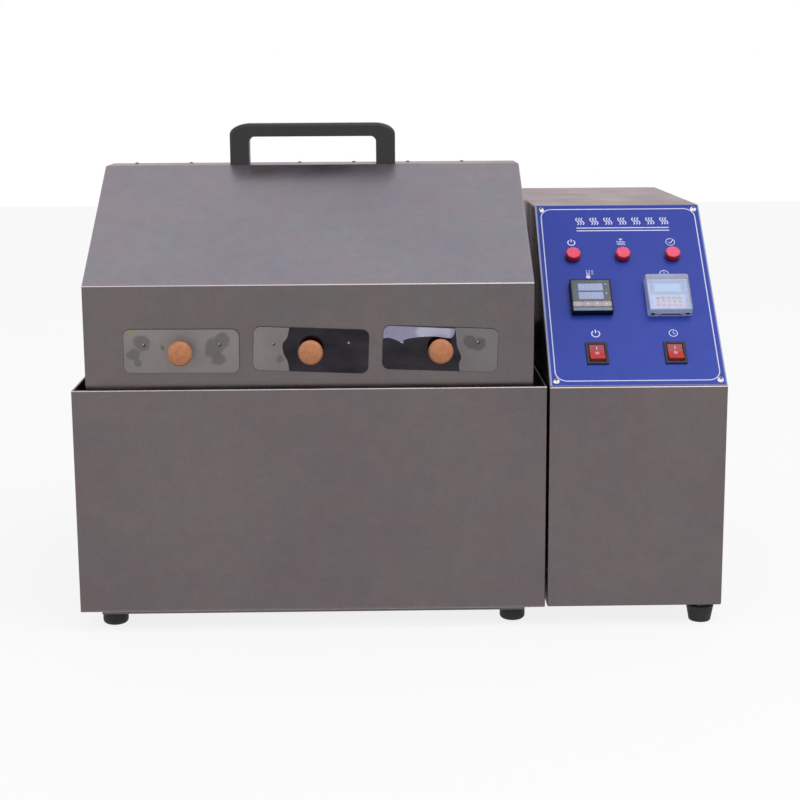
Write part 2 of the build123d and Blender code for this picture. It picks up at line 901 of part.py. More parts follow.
# Rivets that join the two hood sheets along the ridge
with BuildPart() as rivet:
    with BuildSketch(Plane.XZ):
        with BuildLine():
            TangentArc((0, rivet_head_height), (rivet_head_radius, 0), tangent=(1, 0))
            Polyline(
                (0, rivet_head_height),
                (0, -3 * sheet),
                (rivet_shank_radius, -3 * sheet),
                (rivet_shank_radius, 0),
                (rivet_head_radius, 0),
            )
        make_face()
    revolve(axis=Axis.Z)
with BuildPart() as hood_rivets:
    with Locations(*[(x, y, ridge) for x, y in rivet_places]):
        add(rivet.part)
save(hood_rivets, "hood_rivets")

# Moulded bridge handle just behind the front fold of the ridge
handle_front = ridge_front + handle_setback
with BuildPart() as hood_handle:
    with BuildSketch(front_view(handle_front + handle_depth)):
        with BuildLine():
            half = handle_length / 2
            top = ridge + handle_height
            Polyline(
                (middle_x - half, top - corner_rise),
                (middle_x - half, ridge),
                (middle_x + half, ridge),
                (middle_x + half, top - corner_rise),
            )
            EllipticalCenterArc(
                (middle_x + half - corner_run, top - corner_rise), corner_run, corner_rise, 0
            )
            Line((middle_x + half - corner_run, top), (middle_x - half + corner_run, top))
            EllipticalCenterArc(
                (middle_x - half + corner_run, top - corner_rise), corner_run, corner_rise, 90
            )
        make_face()
    extrude(amount=handle_depth)
    crown = hood_handle.edges().filter_by(GeomType.ELLIPSE)
    crown += hood_handle.edges().filter_by(Axis.X).group_by(Axis.Z)[-1]
    fillet(crown, grip_round)
    finger_height = handle_height - grip_thickness
    with BuildSketch(front_view(handle_front + handle_depth)):
        with Locations((middle_x, ridge + finger_height / 2 - finger_corner)):
            RectangleRounded(
                handle_length - 2 * leg_width, finger_height + 2 * finger_corner, finger_corner
            )
    extrude(amount=handle_depth, mode=Mode.SUBTRACT)
save(hood_handle, "hood_handle")

# Drawer guides: pierced plate behind the hood's front, two angle rails per drawer and a rear bar
guide_front = hood_front + sheet
tray_back = front_plate_back + tray_depth
rear_bar_front = tray_back + rear_bar_gap
tunnel_width = tray_width + 2 * tray_clearance
tunnel_height = tray_height + 2 * tray_clearance
tunnel_floor = drawer_z - tunnel_height / 2
with BuildPart() as drawer_guides:
    guide_span = (drawer_count - 1) * drawer_pitch + tunnel_width + 2 * guide_border
    with BuildSketch(front_view(guide_front + sheet)):
        with Locations((middle_x + drawer_shift, drawer_z)):
            Rectangle(guide_span, tunnel_height + 2 * guide_border)
        with Locations(*[(x, drawer_z) for x in drawer_xs]):
            Rectangle(tunnel_width, tunnel_height, mode=Mode.SUBTRACT)
    extrude(amount=sheet)
    with BuildSketch(front_view(rear_bar_front)):
        for x in drawer_xs:
            for side in (-1, 1):
                with Locations((x + side * (tunnel_width + sheet) / 2, tunnel_floor - sheet)):
                    Rectangle(sheet, rail_leg, align=(Align.CENTER, Align.MIN))
                with Locations(
                    (x + side * (tunnel_width / 2 + sheet - rail_leg / 2), tunnel_floor - sheet)
                ):
                    Rectangle(rail_leg, sheet, align=(Align.CENTER, Align.MIN))
    extrude(amount=rear_bar_front - guide_front)
    rear_bar_top = tunnel_floor - sheet + rail_leg
    with BuildSketch(Plane.XY.offset(rear_bar_top)):
        with Locations((middle_x, rear_bar_front)):
            Rectangle(hood_width - 2 * sheet, sheet, align=(Align.CENTER, Align.MIN))
            Rectangle(hood_width - 2 * sheet, rear_bar_flange, align=(Align.CENTER, Align.MIN))
            with Locations((0, sheet)):
                Rectangle(
                    hood_width - 4 * sheet,
                    rear_bar_flange,
                    align=(Align.CENTER, Align.MIN),
                    mode=Mode.SUBTRACT,
                )
    extrude(amount=-rear_bar_height)
save(drawer_guides, "drawer_guides")

# One knob, turned about the Y axis with its seat at the origin
with BuildPart() as knob_form:
    with BuildSketch(Plane.XY):
        with BuildLine():
            shoulder = (knob_shoulder_radius, -knob_shoulder_place)
            crown_edge = (knob_crown_radius, knob_crown - knob_length)
            Polyline((0, -knob_length), (0, 0), (knob_base_radius, 0))
            Line((knob_base_radius, 0), (knob_base_radius, -knob_base_length))
            ThreePointArc(
                (knob_base_radius, -knob_base_length),
                (knob_neck_radius, -knob_neck_place),
                shoulder,
            )
            ThreePointArc(shoulder, (knob_radius, -knob_rim_place), crown_edge)
            TangentArc((0, -knob_length), crown_edge, tangent=(1, 0))
        make_face()
    revolve(axis=Axis.Y)

# One tray with its front at the origin: folded walls and a slotted floor
with BuildPart() as tray_form:
    with BuildSketch(Plane.XY.offset(-tray_height / 2)):
        with Locations((0, tray_depth / 2)):
            RectangleRounded(tray_width, tray_depth, tray_corner)
    extrude(amount=tray_height)
    tray_mouth = tray_form.faces().sort_by(Axis.Z)[-1]
    offset(amount=-tray_sheet, openings=tray_mouth)
    slot_pitch_x = (tray_width - 2 * slot_border + slot_bar) / slot_columns
    slot_pitch_y = (tray_depth - 2 * slot_border - slot_width) / (slot_rows - 1)
    with BuildSketch(Plane.XY.offset(-tray_height / 2)):
        with Locations((0, tray_depth / 2)):
            with GridLocations(slot_pitch_x, slot_pitch_y, slot_columns, slot_rows):
                Rectangle(slot_pitch_x - slot_bar, slot_width)
    extrude(amount=tray_sheet, mode=Mode.SUBTRACT)

# The three drawers: each front plate covers its opening and hangs at its own small angle
for number, (drawer_x, tilt) in enumerate(zip(drawer_xs, front_plate_tilts), start=1):
    with BuildPart() as front_plate:
        with BuildSketch(front_view(front_plate_back)):
            with Locations(Location((drawer_x, drawer_z), -tilt)):
                RectangleRounded(front_plate_width, front_plate_height, front_plate_corner)
        extrude(amount=front_plate_thickness)
    save(front_plate, f"drawer_front_{number}")

    with BuildPart() as tray:
        with Locations((drawer_x, front_plate_back, drawer_z)):
            add(tray_form.part)
    save(tray, f"drawer_tray_{number}")

    with BuildPart() as knob:
        with Locations((drawer_x, front_plate_front, drawer_z)):
            add(knob_form.part)
    save(knob, f"drawer_knob_{number}")

# Control box housing: folded sheet, open at the back, with a window in its sloped face
box_foot_x = box_right - box_foot_inset
box_foot_ys = (front + box_foot_inset, casing_back - box_foot_inset)
box_middle = (box_left + box_width / 2, base + box_height / 2)
box_screw_places = grid_places(
    box_middle,
    box_width - 2 * rear_screw_inset,
    box_height - 2 * rear_screw_inset,
    2,
    rear_screw_rows,
)
panel_width = box_width - 2 * panel_side_margin
panel_length = slope_length - 2 * panel_end_margin
panel_screw_places = grid_places(
    (box_width / 2, panel_length / 2),
    panel_width - 2 * screw_inset,
    panel_length - 2 * screw_inset,
    2,
    2,
)
with BuildPart() as control_housing:
    with BuildSketch(Plane.YZ.offset(box_left)):
        with BuildLine():
            Polyline(
                (front, base),
                (front, base + box_front_height),
                (front + slope_run, base + box_height),
                (casing_back, base + box_height),
                (casing_back, base),
                close=True,
            )
        make_face()
    extrude(amount=box_width)
    rear_face = control_housing.faces().sort_by(Axis.Y)[-1]
    fillet(control_housing.edges() - rear_face.edges(), bend_radius)
    rear_face = control_housing.faces().sort_by(Axis.Y)[-1]
    offset(amount=-sheet, openings=rear_face)
    with BuildSketch(slope_plane):
        with Locations((box_width / 2, slope_length / 2)):
            Rectangle(box_width - 2 * slope_border, slope_length - 2 * slope_border)
    extrude(amount=-sheet, mode=Mode.SUBTRACT)
    with BuildSketch(panel_plane(0, 0, -panel_thickness)):
        with Locations(*panel_screw_places):
            Circle(screw_shank_radius + screw_hole_clearance)
    extrude(amount=-sheet, mode=Mode.SUBTRACT)
    with BuildSketch(front_view(casing_back)):
        with Locations(box_middle):
            Rectangle(box_width - sheet, box_height - sheet)
            Rectangle(
                box_width - 2 * box_rear_flange,
                box_height - 2 * box_rear_flange,
                mode=Mode.SUBTRACT,
            )
        with Locations(*box_screw_places):
            Circle(rear_screw_hole, mode=Mode.SUBTRACT)
    extrude(amount=sheet)
    with BuildSketch(Plane.YZ.offset(box_left)):
        with Locations(wiring_place):
            Circle(wiring_hole_radius)
        with Locations(*tie_bolt_places):
            Circle(tie_bolt_radius + screw_hole_clearance)
    extrude(amount=sheet, mode=Mode.SUBTRACT)
    with BuildSketch(Plane.XY.offset(base)):
        with Locations(*[(box_foot_x, y) for y in box_foot_ys]):
            Circle(stud_radius + screw_hole_clearance)
    extrude(amount=sheet, mode=Mode.SUBTRACT)
save(control_housing, "control_housing")

# Screwed back panel of the control box, with cooling slots and the cable gland's hole
gland_x = box_left + gland_offset_x
gland_z = base + gland_height
with BuildPart() as control_back_panel:
    with BuildSketch(front_view(back)):
        with Locations(box_middle):
            RectangleRounded(box_width - 2 * sheet, box_height - 2 * sheet, bend_radius)
        with Locations(*box_screw_places):
            Circle(rear_screw_hole, mode=Mode.SUBTRACT)
        with Locations((gland_x, gland_z)):
            Circle(gland_thread_radius + gland_hole_clearance, mode=Mode.SUBTRACT)
        vent_middle = base + box_height - vent_drop - (vent_rows - 1) * vent_pitch / 2
        with Locations((box_middle[0], vent_middle)):
            with GridLocations(1, vent_pitch, 1, vent_rows):
                Rectangle(vent_length, vent_width, mode=Mode.SUBTRACT)
    extrude(amount=sheet)
save(control_back_panel, "control_back_panel")

# Pan head screws of both back panels
screw_plane = front_view(back)
with BuildPart() as back_panel_screws:
    with BuildSketch(screw_plane):
        with Locations(*tank_screw_places, *box_screw_places):
            Circle(rear_screw_radius)
    extrude(amount=rear_screw_length)
    with BuildSketch(screw_plane):
        with Locations(*tank_screw_places, *box_screw_places):
            Circle(rear_screw_head_radius)
    extrude(amount=-rear_screw_head)
    chamfer(back_panel_screws.faces().group_by(Axis.Y)[-1].edges(), rear_screw_bevel)
save(back_panel_screws, "back_panel_screws")

# Cable gland: nut inside, hexagon and domed cap outside, bored through for the supply cable
gland_plane = Plane(origin=(gland_x, 0, gland_z), x_dir=(1, 0, 0), z_dir=(0, 1, 0))
with BuildPart() as cable_gland:
    with BuildSketch(gland_plane.offset(back - sheet - 2 * gland_nut)):
        Circle(gland_thread_radius)
    extrude(amount=sheet + 2 * gland_nut + gland_hex)
    for nut_start, nut_length in ((back - sheet - gland_nut, gland_nut), (back, gland_hex)):
        with BuildSketch(gland_plane.offset(nut_start)):
            RegularPolygon(gland_hex_radius, 6)
        extrude(amount=nut_length)
    with BuildSketch(gland_plane.offset(back + gland_hex)):
        Circle(gland_dome_radius)
    extrude(amount=gland_dome)
    chamfer(cable_gland.faces().sort_by(Axis.Y)[-1].edges(), gland_dome_bevel)
    with BuildSketch(gland_plane.offset(back - sheet - 2 * gland_nut)):
        Circle(gland_bore_radius)
    extrude(amount=sheet + 2 * gland_nut + gland_hex + gland_dome, mode=Mode.SUBTRACT)
save(cable_gland, "cable_gland")

# Rubber feet of the control box, each on a stud with a nut and a washer
cup_top = base - box_foot_gap
with BuildPart() as cup:
    with BuildSketch(Plane.XY):
        Circle(box_foot_bottom_radius)
    with BuildSketch(Plane.XY.offset(cup_top)):
        Circle(box_foot_top_radius)
    loft()
    fillet(cup.edges().sort_by(Axis.Z)[0], box_foot_round)
    with BuildSketch(Plane.XY.offset(cup_top)):
        Circle(stud_radius)
    extrude(amount=-stud_depth, mode=Mode.SUBTRACT)
with BuildPart() as control_feet:
    with Locations(*[(box_foot_x, y) for y in box_foot_ys]):
        add(cup.part)
save(control_feet, "control_feet")

with BuildPart() as foot_stud:
    with BuildSketch(Plane.XY.offset(cup_top - stud_depth)):
        Circle(stud_radius)
    extrude(amount=stud_depth + box_foot_gap + sheet + stud_rise)
    with BuildSketch(Plane.XY.offset(cup_top)):
        RegularPolygon(1.9 * stud_radius, 6)
    extrude(amount=box_foot_gap - washer)
    with BuildSketch(Plane.XY.offset(base - washer)):
        Circle(washer_radius)
    extrude(amount=washer)
with BuildPart() as tie_bolt:
    with BuildSketch(Plane.YZ):
        Circle(tie_bolt_radius)
    extrude(amount=seam / 2 + sheet + hex_head, both=True)
    with BuildSketch(Plane.YZ):
        Circle(2 * tie_bolt_radius)
    extrude(amount=seam / 2, both=True)
    for side in (-1, 1):
        with BuildSketch(Plane.YZ.offset(side * (seam / 2 + sheet))):
            RegularPolygon(hex_head_radius, 6)
        extrude(amount=side * hex_head)
with BuildPart() as hex_fasteners:
    with Locations(*[(box_foot_x, y) for y in box_foot_ys]):
        add(foot_stud.part)
    with Locations((tank_right + seam / 2, middle_y, base + tie_bolt_height)):
        with GridLocations(1, tie_bolt_pitch, 1, tie_bolt_count):
            add(tie_bolt.part)
save(hex_fasteners, "hex_fasteners")

# Panel plate with its cut-outs
case_cut_out = case_side + 2 * cut_out_clearance
with BuildPart() as panel_plate:
    with BuildSketch(panel_plane(0, 0, -panel_thickness)):
        with Locations((box_width / 2, panel_length / 2)):
            RectangleRounded(panel_width, panel_length, panel_corner)
        with Locations(*panel_screw_places):
            Circle(screw_shank_radius + screw_hole_clearance, mode=Mode.SUBTRACT)
        with Locations(*lamp_places):
            Circle(lamp_barrel_radius + cut_out_clearance, mode=Mode.SUBTRACT)
        with Locations(controller_place, timer_place):
            Rectangle(case_cut_out, case_cut_out, mode=Mode.SUBTRACT)
        with Locations(*switch_places):
            Rectangle(
                switch_body_width + 2 * cut_out_clearance,
                switch_body_length + 2 * cut_out_clearance,
                mode=Mode.SUBTRACT,
            )
    extrude(amount=panel_thickness)
save(panel_plate, "panel_plate")


def placed(form, *planes):
    """Copies of a form, one on each plane."""
    with BuildPart() as copies:
        with Locations(*[plane.location for plane in planes]):
            add(form.part)
    return copies


# Panel screws at the plate's corners
with BuildPart() as panel_screw:
    with BuildSketch(Plane.XZ):
        with BuildLine():
            TangentArc((0, screw_head), (screw_head_radius, 0), tangent=(1, 0))
            Polyline(
                (0, screw_head),
                (0, -screw_length),
                (screw_shank_radius, -screw_length),
                (screw_shank_radius, 0),
                (screw_head_radius, 0),
            )
        make_face()
    revolve(axis=Axis.Z)
save(placed(panel_screw, *[panel_plane(*place) for place in panel_screw_places]), "panel_screws")

# Indicator lamps: flange and barrel with a nut behind the plate, and a red lens in front
with BuildPart() as indicator_body:
    with BuildSketch():
        Circle(lamp_flange_radius)
    extrude(amount=lamp_flange)
    with BuildSketch():
        Circle(lamp_barrel_radius)
    extrude(amount=-lamp_barrel_length)
    with BuildSketch(Plane.XY.offset(-panel_thickness)):
        RegularPolygon(lamp_nut_radius, 6)
    extrude(amount=-lamp_nut)
    with BuildSketch(Plane.XY.offset(-lamp_barrel_length)):
        with GridLocations(lamp_barrel_radius, 1, 2, 1):
            Rectangle(lamp_blade_thickness, lamp_blade_width)
    extrude(amount=-lamp_blade_length)
with BuildPart() as indicator_lens:
    with BuildSketch(Plane.XY.offset(lens_skirt)):
        RegularPolygon(lens_radius, lens_flat_count, major_radius=False)
    extrude(amount=lens_height - lens_skirt, taper=lens_flat_angle)
    with BuildSketch(Plane.XY.offset(lens_skirt)):
        Circle(lens_radius)
    extrude(amount=lens_height - lens_skirt, mode=Mode.INTERSECT)
    with BuildSketch():
        Circle(lens_radius)
    extrude(amount=lens_skirt)
    with BuildSketch(Plane.XY.offset(lens_ring)):
        Circle(lens_radius)
        Circle(lens_radius - lens_groove_depth, mode=Mode.SUBTRACT)
    extrude(amount=lens_groove, mode=Mode.SUBTRACT)
lamp_planes = [panel_plane(*place) for place in lamp_places]
save(placed(indicator_body, *lamp_planes), "indicator_bodies")
save(placed(indicator_lens, *[plane.offset(lamp_flange) for plane in lamp_planes]), "indicator_lenses")

# Temperature controller: bezel and case, window plate and a row of four keys
window_width = bezel_side - 2 * window_border
window_length = bezel_side - window_border - window_lower_border
window_rise = (window_lower_border - window_border) / 2
window_floor = bezel_proud - window_depth
key_pitch = (window_width - 2 * key_margin - key_width) / (key_count - 1)
key_row = window_rise - window_length / 2 + key_margin + key_height / 2
key_bottom = window_floor - key_root
with BuildPart() as controller_form:
    with BuildSketch():
        RectangleRounded(bezel_side, bezel_side, bezel_corner)
    extrude(amount=bezel_proud)
    chamfer(controller_form.faces().sort_by(Axis.Z)[-1].edges(), bezel_chamfer)
    with BuildSketch(Plane.XY.offset(bezel_proud)):
        with Locations((0, window_rise)):
            Rectangle(window_width, window_length)
    extrude(amount=-window_depth, mode=Mode.SUBTRACT)
    with BuildSketch(Plane.XY.offset(window_floor)):
        with Locations((0, key_row)):
            Rectangle(
                (key_count - 1) * key_pitch + key_width + 2 * key_clearance,
                key_height + 2 * key_clearance,
            )
    extrude(amount=-key_root - key_travel - key_floor_gap, mode=Mode.SUBTRACT)
    with BuildSketch():
        Rectangle(case_side, case_side)
    extrude(amount=-case_depth)
with BuildPart() as controller_window:
    with BuildSketch(Plane.XY.offset(window_floor)):
        with Locations((0, window_rise)):
            Rectangle(window_width - 2 * window_gap, window_length - 2 * window_gap)
        with Locations((0, key_row)), GridLocations(key_pitch, 1, key_count, 1):
            Rectangle(
                key_width + 2 * key_clearance, key_height + 2 * key_clearance, mode=Mode.SUBTRACT
            )
    extrude(amount=face_thickness)
with BuildPart() as key_form:
    with BuildSketch(Plane.XY.offset(key_bottom)):
        Rectangle(key_width, key_height)
    extrude(amount=key_root + face_thickness + key_proud)
    fillet(key_form.faces().sort_by(Axis.Z)[-1].edges(), key_round)
save(placed(controller_form, panel_plane(*controller_place)), "controller_case")
save(placed(controller_window, panel_plane(*controller_place)), "controller_face")
for index in range(key_count):
    key_across = controller_place[0] + (index - (key_count - 1) / 2) * key_pitch
    key_place = panel_plane(key_across, controller_place[1] + key_row)
    save(placed(key_form, key_place), f"controller_key_{index + 1}")

# Timer: bezel and case, and two rows of setting buttons that sink into it
setting_face = timer_proud - timer_recess
with BuildPart() as timer_form:
    with BuildSketch():
        RectangleRounded(bezel_side, bezel_side, bezel_corner)
    extrude(amount=timer_proud)
    chamfer(timer_form.faces().sort_by(Axis.Z)[-1].edges(), bezel_chamfer)
    with BuildSketch(Plane.XY.offset(timer_proud)):
        Rectangle(bezel_side - 2 * timer_frame, bezel_side - 2 * timer_frame)
    extrude(amount=-timer_recess, mode=Mode.SUBTRACT)
    with BuildSketch():
        Rectangle(case_side, case_side)
    extrude(amount=-case_depth)
    with BuildSketch(Plane.XY.offset(setting_face)):
        with Locations((0, -setting_rows_drop)):
            with GridLocations(setting_pitch, setting_row_gap, setting_columns, 2):
                Rectangle(
                    setting_width + 2 * setting_clearance, setting_height + 2 * setting_clearance
                )
    extrude(amount=-setting_root - setting_travel - setting_floor_gap, mode=Mode.SUBTRACT)
with BuildPart() as setting_form:
    with BuildSketch(Plane.XY.offset(setting_face - setting_root)):
        Rectangle(setting_width, setting_height)
    extrude(amount=setting_root + setting_proud)
    fillet(setting_form.faces().sort_by(Axis.Z)[-1].edges(), setting_round)
save(placed(timer_form, panel_plane(*timer_place)), "timer_case")
for row, side in (("plus", 1), ("minus", -1)):
    for index in range(setting_columns):
        across = timer_place[0] + (index - (setting_columns - 1) / 2) * setting_pitch
        up = timer_place[1] - setting_rows_drop + side * setting_row_gap / 2
        save(placed(setting_form, panel_plane(across, up)), f"timer_{row}_{index + 1}")

# Timer cover: a clear frame round the bezel with a hinge pin, and the lid that turns on it
cover_bottom = cover_rise - cover_length / 2
lid_bottom = frame_height + lid_gap
hinge_y = cover_bottom + hinge_inset
knuckle_place = hinge_ear_place - (hinge_ear_width + knuckle_width) / 2 - hinge_side_gap
with BuildPart() as cover_frame:
    with BuildSketch():
        with Locations((0, cover_rise)):
            RectangleRounded(cover_width, cover_length, cover_corner)
    extrude(amount=frame_height)
    for side in (-1, 1):
        with BuildSketch(Plane.YZ.offset(side * hinge_ear_place)):
            with Locations((hinge_y, hinge_height)):
                Circle(hinge_barrel_radius)
            with Locations((hinge_y, 0)):
                Rectangle(
                    2 * hinge_barrel_radius, hinge_height, align=(Align.CENTER, Align.MIN)
                )
        extrude(amount=hinge_ear_width / 2, both=True)
    with BuildSketch(Plane.YZ):
        with Locations((hinge_y, hinge_height)):
            Circle(hinge_pin_radius)
    extrude(amount=hinge_ear_place, both=True)
    with BuildSketch():
        Rectangle(bezel_side + 2 * cover_fit, bezel_side + 2 * cover_fit)
    extrude(amount=hinge_height + hinge_barrel_radius, mode=Mode.SUBTRACT)
with BuildPart() as lid_form:
    with BuildSketch(Plane.XY.offset(lid_bottom)):
        with Locations((0, cover_rise)):
            RectangleRounded(cover_width, cover_length, cover_corner)
    extrude(amount=lid_top - lid_bottom, taper=lid_draft)
    fillet(lid_form.faces().sort_by(Axis.Z)[-1].edges(), lid_round)
    offset(amount=-lid_wall, openings=lid_form.faces().sort_by(Axis.Z)[0])
    with BuildSketch(front_view(cover_bottom + 2 * lid_wall)):
        with Locations((0, lid_bottom)):
            RectangleRounded(
                bezel_side + 2 * hinge_side_gap, 2 * hinge_slot_height, hinge_slot_round
            )
    extrude(amount=4 * lid_wall, mode=Mode.SUBTRACT)
    link_y = cover_bottom + hinge_slot_height * tan(radians(lid_draft))
    link_height = lid_bottom + hinge_slot_height + lid_wall - hinge_height
    for side in (-1, 1):
        with BuildSketch(Plane.YZ.offset(side * knuckle_place)):
            with Locations((hinge_y, hinge_height)):
                Circle(hinge_barrel_radius)
            with Locations((link_y, hinge_height)):
                Rectangle(lid_wall, link_height, align=(Align.MIN, Align.MIN))
        extrude(amount=knuckle_width / 2, both=True)
    with BuildSketch(Plane.YZ):
        with Locations((hinge_y, hinge_height)):
            Circle(hinge_pin_radius + hinge_running_gap)
    extrude(amount=hinge_ear_place, both=True, mode=Mode.SUBTRACT)
save(placed(cover_frame, panel_plane(*timer_place)), "timer_cover_frame")
save(placed(lid_form, panel_plane(*timer_place)), "timer_cover_lid")

# Rocker switches: a framed body with a well, and a rocker that rests with its upper end pressed
well_width = rocker_width + 2 * rocker_side_gap
well_length = 2 * (rocker_half_length + rocker_end_gap)
pin_reach = well_width / 2 + rocker_pin_hold
with BuildPart() as switch_form:
    with BuildSketch():
        RectangleRounded(switch_bezel_width, switch_bezel_length, switch_bezel_round)
    extrude(amount=switch_bezel)
    fillet(switch_form.faces().sort_by(Axis.Z)[-1].edges(), switch_bezel_round / 2)
    with BuildSketch():
        Rectangle(switch_body_width, switch_body_length)
    extrude(amount=-switch_body_depth)
    with BuildSketch(Plane.XY.offset(switch_bezel)):
        Rectangle(well_width, well_length)
    extrude(amount=-switch_bezel - rocker_well_depth, mode=Mode.SUBTRACT)
    with BuildSketch(Plane.YZ):
        with Locations((0, -rocker_pivot_depth)):
            Circle(rocker_pin_radius + rocker_running_gap)
    extrude(amount=pin_reach + rocker_pin_end_gap, both=True, mode=Mode.SUBTRACT)
    with BuildSketch(Plane.XY.offset(-switch_body_depth)):
        with GridLocations(1, blade_pitch, 1, 3):
            Rectangle(blade_width, blade_thickness)
    extrude(amount=-blade_length)
with BuildPart() as rocker_form:
    with BuildSketch(Plane.YZ):
        with BuildLine():
            Polyline(
                (-rocker_half_length, -rocker_skirt),
                (rocker_half_length, -rocker_skirt),
                (rocker_half_length, rocker_crest + rocker_pivot_depth),
                (0, rocker_valley + rocker_pivot_depth),
                (-rocker_half_length, rocker_crest + rocker_pivot_depth),
                close=True,
            )
        make_face()
    extrude(amount=rocker_width / 2, both=True)
    crest_edges = rocker_form.edges().group_by(Axis.Z)[-1]
    fillet(crest_edges, rocker_edge_round)
    with BuildSketch(Plane.YZ):
        Circle(rocker_pin_radius)
    extrude(amount=pin_reach, both=True)
save(placed(switch_form, *[panel_plane(*place) for place in switch_places]), "switch_bodies")
for number, place in enumerate(switch_places, start=1):
    pivot_plane = panel_plane(*place, -rocker_pivot_depth)
    save(placed(rocker_form, pivot_plane.rotated((-rocker_angle, 0, 0))), f"rocker_{number}")

# Solid state relay on the floor of the control box: metal base and moulded body
with BuildPart() as solid_state_relay:
    with BuildSketch(Plane.XY.offset(base + sheet)):
        with Locations((box_middle[0], front + relay_offset_y)):
            RectangleRounded(relay_width, relay_length, relay_base / 2)
            with GridLocations(1, relay_length - relay_base_margin, 1, 2):
                SlotOverall(relay_base_margin, relay_base, mode=Mode.SUBTRACT)
    extrude(amount=relay_base)
    with BuildSketch(Plane.XY.offset(base + sheet + relay_base)):
        with Locations((box_middle[0], front + relay_offset_y)):
            Rectangle(relay_width, relay_length - 2 * relay_base_margin)
    extrude(amount=relay_height - relay_base)
    chamfer(solid_state_relay.faces().sort_by(Axis.Z)[-1].edges(), relay_base / 2)
save(solid_state_relay, "solid_state_relay")
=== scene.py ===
import math
import bpy
from mathutils import Matrix, Vector


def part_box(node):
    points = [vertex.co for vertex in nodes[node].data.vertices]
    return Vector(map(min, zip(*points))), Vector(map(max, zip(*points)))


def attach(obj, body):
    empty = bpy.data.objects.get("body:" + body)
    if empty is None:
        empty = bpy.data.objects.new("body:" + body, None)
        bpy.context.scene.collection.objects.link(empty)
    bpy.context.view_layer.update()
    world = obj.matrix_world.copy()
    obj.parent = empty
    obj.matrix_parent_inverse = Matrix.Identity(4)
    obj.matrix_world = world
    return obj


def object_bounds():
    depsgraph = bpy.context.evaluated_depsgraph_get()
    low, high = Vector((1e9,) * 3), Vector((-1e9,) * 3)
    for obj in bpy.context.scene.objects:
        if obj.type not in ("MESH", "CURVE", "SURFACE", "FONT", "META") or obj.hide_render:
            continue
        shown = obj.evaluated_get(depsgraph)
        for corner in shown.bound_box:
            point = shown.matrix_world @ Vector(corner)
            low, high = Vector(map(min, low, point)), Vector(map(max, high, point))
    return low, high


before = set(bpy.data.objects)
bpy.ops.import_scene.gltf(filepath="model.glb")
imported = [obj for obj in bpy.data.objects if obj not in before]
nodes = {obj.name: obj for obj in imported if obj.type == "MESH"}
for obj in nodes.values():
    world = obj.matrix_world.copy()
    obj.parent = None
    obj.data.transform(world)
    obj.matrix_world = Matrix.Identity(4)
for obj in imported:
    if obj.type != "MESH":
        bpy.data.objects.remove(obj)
cad_low, cad_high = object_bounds()

# One millimetre in the frame's metres
MM = 0.001

# Camera of the photograph: place in the frame's metres, lens and sensor in millimetres
camera_place = Vector((-0.03515, -2.1443, 0.6330))
camera_yaw = math.radians(1.057)
camera_pitch = math.radians(11.093)
camera_roll = math.radians(-0.343)
camera_lens = 75.6
camera_sensor = 36

# Studio: lamps, world and floor, in metres and watts
key_place = (0.9, -1.2, 2.5)
key_power = 26
key_size = 2.2
fill_place = (-1.9, -1.6, 1.4)
fill_power = 6
fill_size = 2.0
world_strength = 0.6
floor_half = 6.0
floor_white = 0.84
bounce_grey = 0.4

# Tint of sheet steel seen at a grazing angle
sheet_graze = (0.7, 0.58, 0.6)

# Drawer plates in millimetres, and how far each hangs out of level, in degrees
plate_tilts = (0.3, 2.3, 2.2)
plate_half_width = 65
plate_half_height = 25
plate_corner = 8
film_thickness = 0.12
film_inset = 0.4
rivet_out = 42.5
rivet_up = 8
rivet_radius = 1.2
rivet_height = 0.5
# Painted shadow under each drawer rivet head: a dark disc, larger than the head and shifted from it
rivet_shadow_radius = 1.9
rivet_shadow_shift = (0.7, -0.8)
rivet_shadow_thickness = 0.03

# Printing on the panel plate, in millimetres from its lower left corner
print_thickness = 0.06
border_inset = 6.5
border_corner = 13
border_width = 1.25
heading_shift = 4
heading_up = 247
rules_up = 234
lamp_mark_xs = (40, 99.5, 159)
lamp_mark_up = 213
instrument_mark_up = 163.5
switch_mark_xs = (57.3, 147)
switch_mark_up = 74
screw_inset = 7

# Thickness of the layers on the instruments, and of the marks on what is pressed, in millimetres
layer = 0.05
mark_thickness = 0.04
button_mark_thickness = 0.03
strip_thickness = 0.06
foot_strip_thickness = 0.08


# Panel plane, from the plate's own outer face
plate_mesh = nodes["panel_plate"].data
outer_face = max(
    (face for face in plate_mesh.polygons if face.normal.z > 0.1), key=lambda face: face.area
)
across = Vector((1, 0, 0))
panel_normal = outer_face.normal.copy()
up_slope = panel_normal.cross(across)
plate_points = [vertex.co for vertex in plate_mesh.vertices]
plate_left = min(point.x for point in plate_points)
plate_right = max(point.x for point in plate_points)
plate_foot = min(point.dot(up_slope) for point in plate_points)
plate_head = max(point.dot(up_slope) for point in plate_points)
plate_face = max(point.dot(panel_normal) for point in plate_points)


def srgb(red, green, blue):
    """Linear colour of an 8-bit display colour."""
    return tuple(
        value / 3294.6 if value <= 10 else ((value / 255 + 0.055) / 1.055) ** 2.4
        for value in (red, green, blue)
    )


